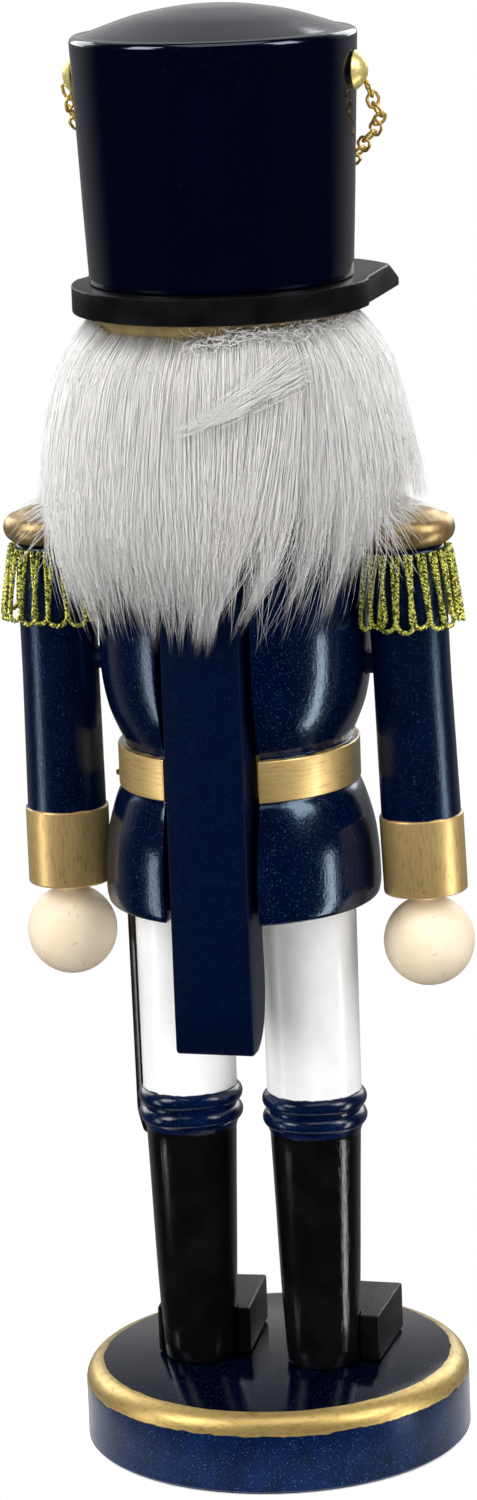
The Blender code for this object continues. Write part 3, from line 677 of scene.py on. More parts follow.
def tube(name, path, radius, sides=10, closed=False, ridges=0.0, ridge_count=0):
    """A round tube along points; radius is one number or one per point."""
    points = np.array(path, float)
    count = len(points)
    size = np.broadcast_to(np.asarray(radius, float), (count,))
    if closed:
        tangent = np.roll(points, -1, 0) - np.roll(points, 1, 0)
    else:
        tangent = np.gradient(points, axis=0)
    across, upward = crosswise(unit(tangent), (0.31, 0.17, 0.93))
    turn = np.linspace(0, 2 * np.pi, sides, endpoint=False)
    wave = 1 + ridges * np.cos(turn * ridge_count) if ridge_count else np.ones(sides)
    ring = across[:, None] * (np.cos(turn) * wave)[None, :, None]
    ring = ring + upward[:, None] * (np.sin(turn) * wave)[None, :, None]
    vertices = (points[:, None] + ring * size[:, None, None]).reshape(-1, 3)
    faces = []
    spans = count if closed else count - 1
    for i in range(spans):
        for j in range(sides):
            a, b = i * sides + j, i * sides + (j + 1) % sides
            c, d = ((i + 1) % count) * sides + (j + 1) % sides, ((i + 1) % count) * sides + j
            faces += [(a, b, c), (a, c, d)]
    if not closed:
        for ring_index, order in ((0, -1), (count - 1, 1)):
            first = ring_index * sides
            fan = [(first, first + j, first + j + 1) for j in range(1, sides - 1)]
            faces += [face[::order] for face in fan]
    return quick_mesh(name, vertices, np.array(faces, np.int32))


def joined(name, meshes):
    """Several triangle meshes as one."""
    points, faces, start = [], [], 0
    for mesh in meshes:
        co = np.zeros(len(mesh.vertices) * 3, np.float32)
        mesh.vertices.foreach_get("co", co)
        index = np.zeros(len(mesh.loops), np.int32)
        mesh.loops.foreach_get("vertex_index", index)
        points.append(co.reshape(-1, 3))
        faces.append(index.reshape(-1, 3) + start)
        start += len(mesh.vertices)
        bpy.data.meshes.remove(mesh)
    return quick_mesh(name, np.concatenate(points), np.concatenate(faces))


# ---- stage, light and camera --------------------------------------------------------------------
CAMERA_DISTANCE = 1.250
CAMERA_HEIGHT = 0.471
CAMERA_PAN = -0.0035
CAMERA_TILT = 0.2241
CAMERA_ROLL = -0.0375
CAMERA_LENS = 118.28


def from_camera_side(right, back, up):
    """A point given to the right of the camera's line and towards the camera."""
    s, c = math.sin(CAMERA_AZIMUTH), math.cos(CAMERA_AZIMUTH)
    return Vector((-right * c - back * s, -right * s + back * c, up))


def make_camera():
    cp, sp = math.cos(CAMERA_PAN), math.sin(CAMERA_PAN)
    ct, st = math.cos(CAMERA_TILT), math.sin(CAMERA_TILT)
    ahead = from_camera_side(sp * ct, -cp * ct, -st)
    right = from_camera_side(cp, sp, 0)
    up = right.cross(ahead)
    roll = Matrix.Rotation(-CAMERA_ROLL, 3, ahead)
    right, up = roll @ right, roll @ up
    data = bpy.data.cameras.new("Camera")
    data.lens = CAMERA_LENS
    data.sensor_width = 36.0
    data.clip_start = 0.05
    data.clip_end = 20.0
    camera = placed("Camera", data)
    place = from_camera_side(0, CAMERA_DISTANCE, CAMERA_HEIGHT)
    camera.matrix_world = Matrix((
        (right.x, up.x, -ahead.x, place.x),
        (right.y, up.y, -ahead.y, place.y),
        (right.z, up.z, -ahead.z, place.z),
        (0, 0, 0, 1),
    ))
    bpy.context.scene.camera = camera


def softbox(name, turn, height, distance, size, power):
    """A soft light turned round the figure from the camera's side, positive to the right."""
    angle = math.radians(turn)
    place = from_camera_side(distance * math.sin(angle), distance * math.cos(angle), height)
    data = bpy.data.lights.new(name, "AREA")
    data.shape = "RECTANGLE"
    data.size, data.size_y = size
    data.energy = power
    light = placed(name, data)
    aim = Vector((AXIS.x, AXIS.y, 0.19)) - place
    light.matrix_world = Matrix.Translation(place) @ aim.to_track_quat("-Z", "Y").to_matrix().to_4x4()
    return light


def make_lights():
    softbox("Right softbox", 62, 0.90, 1.05, (0.45, 0.70), 8.5)
    softbox("Left softbox", -62, 0.90, 1.05, (0.45, 0.70), 9.5)
    softbox("Overhead", 10, 1.30, 0.40, (0.9, 0.8), 4.5)
    for turn, height, tall, power in ((-78, 0.05, 0.24, 0.30), (74, 0.0, 0.33, 0.70)):
        strip = softbox("Strip", turn, height, 0.44, (0.07, tall), power)
        strip.visible_diffuse = False
    softbox("Front left", -140, 0.70, 1.2, (0.7, 0.7), 6)
    softbox("Front right", 150, 0.70, 1.2, (0.7, 0.7), 6)
    for turn, power in ((-58, 6.0), (0, 6.0), (58, 5.0)):
        fill = softbox("Fill", turn, 0.22, 1.1, (0.6, 0.5), power)
        fill.visible_glossy = False


def make_world():
    """White behind the figure for the camera; dark with a lit far wall for light and reflections."""
    world = bpy.data.worlds.new("Studio")
    world.use_nodes = True
    tree = world.node_tree
    back = tree.nodes["Background"]
    back.inputs["Color"].default_value = (1, 1, 1, 1)
    direction = tree.nodes.new("ShaderNodeTexCoord").outputs["Generated"]
    away = from_camera_side(0, -1, 0)

    def ramp(value, limits, heights):
        node = tree.nodes.new("ShaderNodeMapRange")
        node.interpolation_type = "SMOOTHSTEP"
        keys = ("From Min", "From Max", "To Min", "To Max")
        for key, number in zip(keys, (*limits, *heights), strict=True):
            if isinstance(number, bpy.types.NodeSocket):
                tree.links.new(number, node.inputs[key])
            else:
                node.inputs[key].default_value = number
        tree.links.new(value, node.inputs["Value"])
        return node.outputs["Result"]

    along = tree.nodes.new("ShaderNodeVectorMath")
    along.operation = "DOT_PRODUCT"
    along.inputs[1].default_value = away
    tree.links.new(direction, along.inputs[0])
    split = tree.nodes.new("ShaderNodeSeparateXYZ")
    tree.links.new(direction, split.inputs[0])
    wall = ramp(split.outputs[2], (-0.10, 0.10), (0.20, 0.62))
    studio = ramp(along.outputs["Value"], (0.25, 0.75), (0.012, wall))
    seen = tree.nodes.new("ShaderNodeLightPath").outputs["Is Camera Ray"]
    tree.links.new(ramp(seen, (0.0, 1.0), (studio, 1.0)), back.inputs["Strength"])
    bpy.context.scene.world = world
    bpy.context.scene.view_settings.view_transform = "Standard"


def make_floor():
    f = Finish("floor", Emission_Color=(1, 1, 1, 1), Emission_Strength=0.45)
    grain = f.noise((60, 60, 60), 2.0)
    layer = (f.colour(grain, (0.90, 0.90, 0.90), (0.93, 0.93, 0.93)), 0.85, 0.0, grain)
    finish = f.done(layer, 0.00001)
    mesh = turned("Floor", [(0, -0.0002), (0.080, -0.0002), (0.080, -0.004), (0, -0.004)], 96)
    mesh.materials.append(finish)
    floor = placed("Floor", mesh)


# ---- base and legs ------------------------------------------------------------------------------
def make_base():
    top_radius = 0.0470
    outline = [(0, BASE_TOP), (top_radius, BASE_TOP)]
    outline += arc((top_radius - 0.001, 0.0158), 0.0052, 72, 2, 10)
    outline += [(BASE_RADIUS, 0.0154), (BASE_RADIUS, 0.0009), (BASE_RADIUS - 0.0009, 0), (0, 0)]
    mesh = turned("base_block", outline, 160)
    holes = []
    for sign in SIDES.values():
        for radius, high in ((SCREW_BORE, 0.03), (0.0046, 0.005)):
            holes.append(bore(radius, -0.01, high, on_axis(sign * LEG_X)))
    show("base_block", carved(mesh, holes), base_finish(), "figure", ["base"])


def leg_outline():
    """Trouser, the knee's pair of rings and the tapering boot, from the hem down."""
    top, bottom = HEM_Z - GAP, BASE_TOP + GAP
    ring, reach, centre = 0.0024, 0.0114, KNEE_Z
    outline = [(0, top), (0.0122, top), (0.0126, top - 0.0005), (0.0124, centre + 0.0052)]
    outline += arc((reach, centre + 0.0025), ring, 62, -66, 12)
    outline += arc((reach, centre - 0.0025), ring, 66, -62, 12)
    outline += [(0.0123, centre - 0.0056), (0.0120, centre - 0.0064)]
    calf = [(0.0119, centre - 0.0072), (0.0114, 0.070), (0.0106, 0.045), (0.0097, 0.0258)]
    outline += flowing(calf, 3)
    return outline + [(0.0094, bottom + 0.0006), (0.0089, bottom), (0, bottom)]


def make_legs():
    """Each leg is one turning, bored for its dowel above and its screw below."""
    finish = leg_finish()
    for side, sign in SIDES.items():
        place = on_axis(sign * LEG_X)
        dowel_hole = bore(DOWEL_BORE, HEM_Z - 0.0123, 0.2, place)
        screw_hole = bore(SCREW_BORE, 0.01, 0.0343, place, 24)
        name = "leg_turning_" + side
        mesh = carved(turned(name, leg_outline(), 112, place), [dowel_hole, screw_hole])
        show(name, mesh, finish, "figure", ["leg_" + side])


def make_feet():
    finish = plain_finish("foot_paint", CHARCOAL, (0.0045, 0.0045, 0.0045), 0.42, (1500, 500, 1500),
                          0.0001, 0.8, Specular_IOR_Level=0.22)
    for side, sign in SIDES.items():
        low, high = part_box("foot_" + side)
        centre = 0.0170 if sign > 0 else -0.0198
        splay = Matrix.Rotation(math.radians(5) if sign > 0 else 0.0, 4, "Z")
        place = on_axis(centre, -0.014, 0) @ splay
        name = "foot_block_" + side
        mesh = box_mesh(name, (-0.0125, -0.0140, low.z), (0.0125, 0.0140, high.z), 0.0006, 3, place)
        boot_seat = bore(0.0104, 0.01, 0.06, on_axis(sign * LEG_X), 64)
        show(name, carved(mesh, [boot_seat]), finish, "figure", ["foot_" + side])


# ---- coat, arms and trim ------------------------------------------------------------------------
def make_coat():
    """The trunk in one turning, slotted down the back for the lever and bored for its dowels."""
    chest = [(0.0322, SHOULDER_Z - 0.0030), (0.0339, 0.2350), (0.0349, 0.2250), (CHEST_RADIUS, 0.2160)]
    chest += [(0.0347, 0.2080), (0.0334, 0.2010), (0.0316, 0.1960), (0.0295, 0.1914)]
    skirt = [(0.0307, 0.1792), (0.0318, 0.1774), (0.0333, 0.1730), (0.0348, 0.1670), (0.0356, 0.1600)]
    skirt += [(0.0358, 0.1530), (0.0357, 0.1512)]
    belt = [(0.0294, 0.1912), (0.0294, BELT[1]), (0.0314, BELT[1]), (0.0314, BELT[0]), (0.0305, BELT[0])]
    outline = [(0, SHOULDER_Z), (0.0285, SHOULDER_Z)]
    outline += [(0.0300, SHOULDER_Z - 0.0003), (0.0313, SHOULDER_Z - 0.0015)]
    outline += flowing(chest, 4)
    outline += rounded(belt, 0.0005, 3)
    outline += flowing(skirt, 4)
    hem = [(0.0357, 0.1510), (0.0352, HEM_Z + 0.0001), (0.0330, HEM_Z), (0, HEM_Z)]
    outline += rounded(hem, 0.0014, 4)
    mesh = turned("coat_turning", outline, 144, on_axis())
    x, y = AXIS.x, AXIS.y
    left, right, inner = x - SLOT_HALF, x + SLOT_HALF, y + LEVER_INNER
    slot = box_mesh("slot", (left, inner - GAP, 0.13), (right, y + 0.05, 0.27))
    throat = box_mesh("throat", (left, y - 0.05, 0.2330), (right, inner + 0.002, 0.27))
    cuts = [slot, throat]
    for sign in SIDES.values():
        for centre, z in ((LEG_X, HEM_Z), (NECK_X, SHOULDER_Z)):
            cuts.append(bore(DOWEL_BORE, z - 0.012, z + 0.012, on_axis(sign * centre)))
        shoulder = on_axis(sign * 0.0330, 0, middle("arm_dowel_left").z)
        cuts.append(bore(DOWEL_BORE, -0.01, 0.01, shoulder @ LYING_ACROSS))
    mesh = carved(mesh, cuts, 0.0004)
    show("coat_turning", mesh, coat_finish(), "figure", ["coat_body"])


def make_buttons():
    finish = brass_finish("button_brass", 0.2)
    for name, radius, slope in (("top", 0.0351, 0), ("middle", 0.0346, 11), ("bottom", 0.0326, 20)):
        node = "coat_button_" + name
        size = (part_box(node)[1].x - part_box(node)[0].x) / 2
        dome = [(0, 0.0020), *arc((0, -0.0002), 0.0021, 78, 40, 8)]
        edge = arc((size - 0.0005, 0.0005), 0.0005, 80, -80, 8)
        outline = [*dome, (size - 0.0005, 0.0009), *edge, (0, 0)]
        turn = Matrix.Rotation(math.radians(90 + slope), 4, "X")
        mesh = turned("button_" + name, outline, 48, on_axis(0, -radius - GAP, middle(node).z) @ turn)
        show("button_" + name, mesh, finish, "figure", [node])


def make_buckle():
    low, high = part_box("belt_buckle")
    outer = box_mesh("buckle", low, high)
    mid = (low + high) / 2
    window = box_mesh("window", (mid.x - 0.004, low.y - 0.01, mid.z - 0.004),
                      (mid.x + 0.004, high.y + 0.01, mid.z + 0.004))
    finish = brass_finish("buckle_brass", 0.2)
    show("buckle_frame", carved(outer, [window], 0.0006), finish, "figure", ["belt_buckle"])
    prong = [(mid.x - 0.0036, mid.y, mid.z), (mid.x, mid.y - 0.0002, mid.z)]
    prong.append((mid.x + 0.0056, mid.y - 0.0012, mid.z))
    mesh = tube("buckle_prong", flowing(prong, 6), 0.00055, 12)
    show("buckle_prong", mesh, finish, "figure")


def arm_matrix(side):
    """The arm's own place: its origin is the middle of the shoulder end, tilted with the arm."""
    return on_axis(SHOULDER_X[side], 0, ARM_TOP) @ Matrix.Rotation(SIDES[side] * -ARM_LEAN[side], 4, "Y")


def make_arms():
    sleeve, hand, gold = arm_finish(), hand_finish(), gold_finish()
    top, bottom = 0.1713 - ARM_TOP, 0.1510 - ARM_TOP
    upper = [(0, 0), (SLEEVE_RADIUS, 0), (SLEEVE_RADIUS - 0.0003, -0.034), (SLEEVE_RADIUS, top + 0.0002)]
    cuff = [(SLEEVE_RADIUS, top + 0.0001), (0.0109, top), (0.01085, bottom), (0.0034, bottom)]
    cuff += [(0.0034, bottom + 0.010), (0, bottom + 0.010)]
    outline = rounded(upper, 0.001, 4) + rounded(cuff, 0.0006, 3)
    centre, peg = HAND_Z - ARM_TOP, 0.1597 - ARM_TOP
    ball = [(0, peg), (0.0026, peg), (0.0031, peg - 0.0005)]
    ball += [*arc((0, centre), HAND_RADIUS, 74.5, -88, 28), (0, centre - HAND_RADIUS)]
    for side, sign in SIDES.items():
        matrix = arm_matrix(side)
        inward = -sign * (SHOULDER_X[side] * sign - ARM_DOWEL_X)
        place = Matrix.Translation((inward, 0, middle("arm_dowel_left").z - ARM_TOP))
        dowel_hole = bore(DOWEL_BORE, -0.009, 0.009, place @ LYING_ACROSS)
        mesh = carved(turned("sleeve_" + side, outline, 96), [dowel_hole])
        show("sleeve_" + side, mesh, sleeve, "figure", ["arm_" + side], matrix)
        name = "ball_hand_" + side
        show(name, turned(name, ball, 96), hand, "figure", ["hand_" + side], matrix)
        name = "shoulder_disc_" + side
        mesh = turned(name, disc_outline(), 96)
        show(name, mesh, gold, "figure", ["epaulette_" + side], matrix)


def disc_outline():
    """A smooth pebble: a low dome that rolls into a half-round edge."""
    top = 0.0098
    dome = [(0, top), (0.0030, top - 0.0001), (0.0055, top - 0.0004)]
    dome += [(0.0078, top - 0.0009), (0.0098, top - 0.0018)]
    edge = arc((EPAULETTE_RADIUS - 0.0038, GAP + 0.0039), 0.0038, 52, -84, 14)
    return [*flowing([*dome, edge[0]], 4), *edge[1:], (0.0086, GAP), (0, GAP)]


def fringe_path(start, rng):
    """One cord loop hanging from the disc's underside, flared outwards."""
    top, length = -0.0006, 0.0188 + rng.uniform(-0.0008, 0.0008)
    lean = rng.uniform(-0.07, 0.07)
    narrow, wide = 0.0009, 0.0023 + rng.uniform(-0.0003, 0.0004)
    depth = rng.uniform(-0.0004, 0.0006)
    points = []
    for t in np.linspace(0, 1, 22):
        points.append((-(narrow + (wide - narrow) * t), top - (length - wide) * t))
    for a in np.linspace(math.pi, 2 * math.pi, 12)[1:-1]:
        points.append((wide * math.cos(a), top - (length - wide) + wide * math.sin(a)))
    points += [(-x, z) for x, z in reversed(points[:22])]
    result = []
    for x, z in points:
        share = (top - z) / length
        radius = 0.0117 + (0.0024 + depth) * share**0.8
        turn = start + x / radius + lean * share
        result.append((radius * math.cos(turn), radius * math.sin(turn), z))
    return np.array(result)


def points_at(path, run, at):
    """Where a path has got to after each given length of it."""
    return np.stack([np.interp(at, run, path[:, k]) for k in range(3)], -1)


def resampled(path, spacing):
    """The path in even steps, and the length run at each."""
    gaps = np.linalg.norm(np.diff(path, axis=0), axis=1)
    run = np.concatenate([[0], np.cumsum(gaps)])
    count = max(4, int(run[-1] / spacing))
    at = np.linspace(0, run[-1], count)
    return points_at(path, run, at), at


def twisted(path, phase=0.0):
    """Two plies of a cord wound round each other along a path."""
    points, run = resampled(path, 0.00026)
    across, upward = crosswise(unit(np.gradient(points, axis=0)), unit(points * (1, 1, 0)))
    plies = []
    for ply in range(2):
        turn = 2 * np.pi * run / 0.0020 + np.pi * ply + phase
        offset = across * np.cos(turn)[:, None] + upward * np.sin(turn)[:, None]
        plies.append(tube("ply", points + offset * 0.00036, 0.00034, 5))
    return plies


def make_fringes():
    """A row of cord loops round each epaulette, left out where it meets the chest."""
    finish = cord_finish()
    rng = np.random.default_rng(7)
    loops = 17
    for side, sign in SIDES.items():
        chest = math.acos((abs(SHOULDER_X[side]) - CHEST_RADIUS - 0.0001) / FRINGE_REACH)
        inward = math.pi if sign > 0 else 0.0
        spread = 2 * math.pi - 2 * chest
        meshes = []
        for i in range(loops):
            start = inward + chest + spread * (i + 0.5) / loops
            meshes += twisted(fringe_path(start, rng), rng.uniform(0, 6))
        name = "cord_fringe_" + side
        mesh = joined(name, meshes)
        show(name, mesh, finish, "figure", ["fringe_" + side], arm_matrix(side))


# ---- sword --------------------------------------------------------------------------------------
def make_sword():
    """Scabbard, hilt and cross guard at the figure's left hip."""
    place = on_axis(HIP_RADIUS * math.sin(HIP_AZIMUTH), -HIP_RADIUS * math.cos(HIP_AZIMUTH), HIP_Z)
    hip = place @ Matrix.Rotation(HIP_AZIMUTH, 4, "Z")
    upright = hip @ FACING_FRONT
    width, length, point = 0.0090, HIP_Z - low_z("scabbard"), 0.0070
    outline = [(-width / 2, 0), (-width / 2 + 0.001, point - length), (-0.0012, -length)]
    outline += [(0.0012, -length), (width / 2 - 0.001, point - length), (width / 2, 0)]
    finish = plain_finish("scabbard_paint", BLACK, (0.014, 0.014, 0.015), 0.25, (900, 900, 200), 0.00005,
                          Coat_Weight=0.3, Coat_Roughness=0.1)
    mesh = board("scabbard_board", rounded(outline, 0.002, 4, True), 0.0028, 0.0006, 3, upright)
    show("scabbard_board", mesh, finish, "figure", ["scabbard"])
    brass = brass_finish("sword_brass")
    profile = [(0, 0.0300), *arc((0, 0.0272), 0.0028, 84, -48, 12)]
    for i in range(5):
        z = 0.0236 - i * 0.0034
        profile += [(0.0018, z), *arc((0.0016, z - 0.0017), 0.0010, 62, -62, 5)]
    profile += [(0.0017, 0.0062), (0.0030, 0.0047), (0.0034, 0.0036)]
    profile += [(0.0032, 0.0022), (0.0024, GAP), (0, GAP)]
    mesh = turned("hilt_turning", profile, 48, hip)
    show("hilt_turning", mesh, brass, "figure", ["sword_hilt"])
    guard = [(-0.0062, 0.0010), (0.0062, 0.0010), (0.0062, 0.0030), (-0.0062, 0.0030)]
    mesh = board("cross_guard", rounded(guard, 0.0008, 4, True), 0.0024, 0.0004, 2, upright)
    show("cross_guard", mesh, brass, "figure")


# ---- head, jaw and face -------------------------------------------------------------------------
def make_head():
    """The head block with its mouth slot, bored for the pin, the dowels and the nose."""
    bottom = SHOULDER_Z + GAP
    outline = [(0, HEAD_TOP), *arc((HEAD_RADIUS - 0.0010, HEAD_TOP - 0.0010), 0.0010, 88, 0, 5)]
    cheek = [(HEAD_RADIUS, 0.2995), (HEAD_RADIUS, 0.2750), (HEAD_RADIUS, 0.2570), (0.0324, 0.2500)]
    outline += flowing(cheek, 4)
    outline += [(0.0316, bottom + 0.0012), (0.0304, bottom), (0, bottom)]
    mesh = turned("head_turning", outline, 128, on_axis())
    x, y = AXIS.x, AXIS.y
    cuts = [box_mesh("mouth", (x - SLOT_HALF, y - 0.05, 0.24), (x + SLOT_HALF, y + 0.05, MOUTH_TOP))]
    cuts.append(bore(PIN_BORE, -0.04, 0.04, Matrix.Translation(PIVOT) @ LYING_ACROSS))
    for sign in SIDES.values():
        cuts.append(bore(DOWEL_BORE, 0.2, SHOULDER_Z + 0.012, on_axis(sign * NECK_X)))
    cuts.append(bore(HAT_BORE, 0.2875, 0.32, on_axis()))
    cuts.append(bore(0.0019, -0.006, 0.006, nose_place(), 24))
    show("head_turning", carved(mesh, cuts, 0.0004), head_finish(), "figure", ["head"])


def nose_place():
    return on_axis(0, -HEAD_RADIUS, middle("nose").z) @ FACING_FRONT


def make_nose():
    ball = [(0.0012, 0.0061), (0.0026, 0.0052), (0.0036, 0.0036), (0.0039, 0.0020)]
    outline = [(0, 0.0062), *flowing(ball, 4)]
    outline += [(0.0036, 0.0008), (0.0030, GAP), (0.0016, GAP), (0.0016, -0.0050), (0, -0.0050)]
    f = Finish("nose_paint")
    layer = skin_paint(f)
    tip = f.step(f.split()[1], AXIS.y - HEAD_RADIUS - 0.001, AXIS.y - HEAD_RADIUS - 0.006)
    layer = f.over(layer, f.times(tip, 0.45), (BLUSH, 0.34, 0.0, 0.5))
    mesh = turned("nose_turning", outline, 48, nose_place())
    show("nose_turning", mesh, f.done(layer, 0.00003), "figure", ["nose"])


def make_moustache():
    """Two carved wings with long grooves, meeting under the nose."""
    line = [(0.0001, 0.0010), (0.0045, 0.0016), (0.0090, 0.0010)]
    line += [(0.0140, -0.0012), (0.0178, -0.0034), (0.0192, -0.0030)]
    reach = HEAD_RADIUS + 0.0014
    halves = []
    for sign in SIDES.values():
        path = []
        for x, z in flowing(line, 6):
            turn = x / reach
            x, y = AXIS.x + sign * reach * math.sin(turn), AXIS.y - reach * math.cos(turn)
            path.append((x, y, 0.2792 + z))
        share = np.linspace(0, 1, len(path))
        belly = np.sin(np.pi * np.clip(share * 0.93 + 0.07, 0, 1)) ** 0.8
        size = 0.0006 + 0.0021 * belly * (1 - share * 0.35)
        halves.append(tube("wing", path, size, 28, ridges=0.07, ridge_count=9))
    finish = plain_finish("moustache_paint", WHITE, (0.70, 0.69, 0.66), 0.42, (900, 900, 900), 0.00004)
    mesh = joined("moustache_carving", halves)
    show("moustache_carving", mesh, finish, "figure", ["moustache"])


def make_lever():
    """One sawn board: the jaw in front, the pivot in the head and the long lever down the back."""
    back, inner = LEVER_BACK, LEVER_INNER
    bottom, jaw_top, jaw_bottom = low_z("jaw_lever"), 0.2660, 0.2500
    outline = [(back - 0.0010, bottom), (back - 0.0002, bottom + 0.0010)]
    outline += [(back, bottom + 0.0140), (back, 0.2590)]
    outline += arc((back - 0.0060, jaw_top - 0.0060), 0.0060, 10, 90, 8)
    outline += [(-0.0325, jaw_top), (-0.0345, jaw_top - 0.0020), (-0.0350, 0.2580)]
    outline += [(-0.0345, jaw_bottom + 0.0020), (-0.0325, jaw_bottom), (-0.0160, jaw_bottom)]
    outline.append((-0.0135, jaw_bottom + 0.0027))
    outline += [(inner - 0.0034, jaw_bottom + 0.0030), (inner - 0.0009, jaw_bottom + 0.0013)]
    outline += [(inner, jaw_bottom - 0.0023), (inner, 0.1450)]
    toe = [(inner - 0.0009, 0.1330), (inner - 0.0004, 0.1270), (inner + 0.0012, 0.1210)]
    toe += [(inner + 0.0044, 0.1168), (inner + 0.0085, bottom)]
    outline += flowing(toe, 3)
    turn = on_axis() @ Matrix.Rotation(math.radians(90), 4, "Z") @ FACING_FRONT
    mesh = board("lever_board", outline, 2 * LEVER_HALF, 0.0007, 3, turn)
    pin_hole = bore(PIN_BORE, -0.03, 0.03, Matrix.Translation(PIVOT) @ LYING_ACROSS)
    show("lever_board", carved(mesh, [pin_hole]), lever_finish(), "jaw", ["jaw_lever"])


# ---- fur ----------------------------------------------------------------------------------------
HAIR_REACH = math.radians(108)
LEVER_NOTCH = math.radians(24)
NOTCH_TOP = 0.2790
SHELL_Z = np.array([0.2150, 0.2230, 0.2320, 0.2440, 0.2580, 0.2740, 0.2900, 0.2990, 0.3030])
SHELL_R = np.array([0.0415, 0.0440, 0.0470, 0.0495, 0.0492, 0.0468, 0.0434, 0.0398, 0.0375])
LOCKS = (
    (-100, 0.2540), (-90, 0.2545), (-79, 0.2500), (-69, 0.2430), (-61, 0.2340), (-55, 0.2290), (-49, 0.2300),
    (-41, 0.2275), (-34, 0.2260), (-27, 0.2240), (-19, 0.2230), (-13, 0.2240), (-6, 0.2225), (0, 0.2235),
    (6, 0.2235), (13, 0.2240), (20, 0.2250), (26, 0.2270), (33, 0.2255), (39, 0.2250), (47, 0.2300),
    (56, 0.2360), (66, 0.2440), (77, 0.2500), (88, 0.2545), (100, 0.2540),
)


def seen_at(turn):
    """Degrees round the head from the middle of the camera's view, positive to the figure's left."""
    return np.degrees(turn) + CAMERA_DEGREES


def around_axis(radius, turn, z):
    """Points round the head; a turn of 0 is straight behind it."""
    return np.stack([AXIS.x + radius * np.sin(turn), AXIS.y + radius * np.cos(turn), z], -1)


def shoulder_centre(side):
    return np.array((AXIS.x + SHOULDER_X[side], AXIS.y))


def smoothstep(value, low, high):
    t = np.clip((value - low) / (high - low), 0, 1)
    return t * t * (3 - 2 * t)


def hair_top(turn):
    """The fur's upper edge: under the brim, but lower along the back on the figure's left."""
    seen = seen_at(turn)
    dip = smoothstep(seen, -8, 4) * (1 - smoothstep(seen, 56, 70))
    return 0.3019 - 0.0016 * dip


def sweep_table(turns):
    """How far each lock has swung round at each height on its way down."""
    heights = np.linspace(0.303, 0.215, 89)
    step = heights[0] - heights[1]
    seen = seen_at(turns)[:, None]
    slant = np.exp(-(((seen + 20) / 18.0) ** 2))
    rate = slant * (0.20 + 0.34 * smoothstep(-heights, -0.262, -0.236))[None]
    rate = rate - 0.10 * np.exp(-(((seen - 50) / 12.0) ** 2)) * smoothstep(-heights, -0.250, -0.232)[None]
    return heights[::-1], (np.cumsum(rate * step, axis=1) / 0.046)[:, ::-1]


def strands(name, lines, size):
    """Closed three-sided hairs along an array of centre lines, tapering to a point."""
    count, points = lines.shape[:2]
    outward = unit((lines - np.array(AXIS)) * (1, 1, 0))
    across, upward = crosswise(unit(np.gradient(lines, axis=1)), outward + (0, 0, 0.01))
    turn = np.array((90, 210, 330)) * np.pi / 180
    ring = across[:, :, None] * np.cos(turn)[None, None, :, None]
    ring = ring + upward[:, :, None] * np.sin(turn)[None, None, :, None]
    rings = (lines[:, :, None] + ring * size[:, :, None, None])[:, :-1].reshape(count, -1, 3)
    vertices = np.concatenate([rings, lines[:, -1:]], 1)
    each = vertices.shape[1]
    pattern = [(0, 2, 1)]
    for i in range(points - 2):
        for j in range(3):
            a, b = i * 3 + j, i * 3 + (j + 1) % 3
            pattern += [(a, b, b + 3), (a, b + 3, a + 3)]
    last = (points - 2) * 3
    pattern += [(last + j, last + (j + 1) % 3, each - 1) for j in range(3)]
    faces = np.array(pattern)[None] + (np.arange(count) * each)[:, None, None]
    return quick_mesh(name, vertices.reshape(-1, 3), faces.reshape(-1, 3))


def taper(rng, count, points, size):
    """The thickness of each hair along its length: nearly even, then drawn out to a fine tip."""
    along = np.linspace(0, 1, points)[None]
    thick = size * rng.uniform(0.75, 1.25, (count, 1))
    return thick * (0.75 + 0.25 * along) * (1 - 0.88 * along**3)


def clear_of_shoulders(lines):
    """Pushes points out of the epaulettes, fringes and sleeves."""
    for side in SIDES:
        centre = shoulder_centre(side)
        reach = np.where(lines[..., 2] < 0.2410, 0.0158, EPAULETTE_RADIUS + 0.0007)
        away = lines[..., :2] - centre
        far = np.linalg.norm(away, axis=-1)
        inside = (far < reach) & (lines[..., 2] < 0.2517)
        scale = np.where(inside, reach / np.maximum(far, 1e-6), 1.0)
        lines[..., :2] = centre + away * scale[..., None]
    return lines


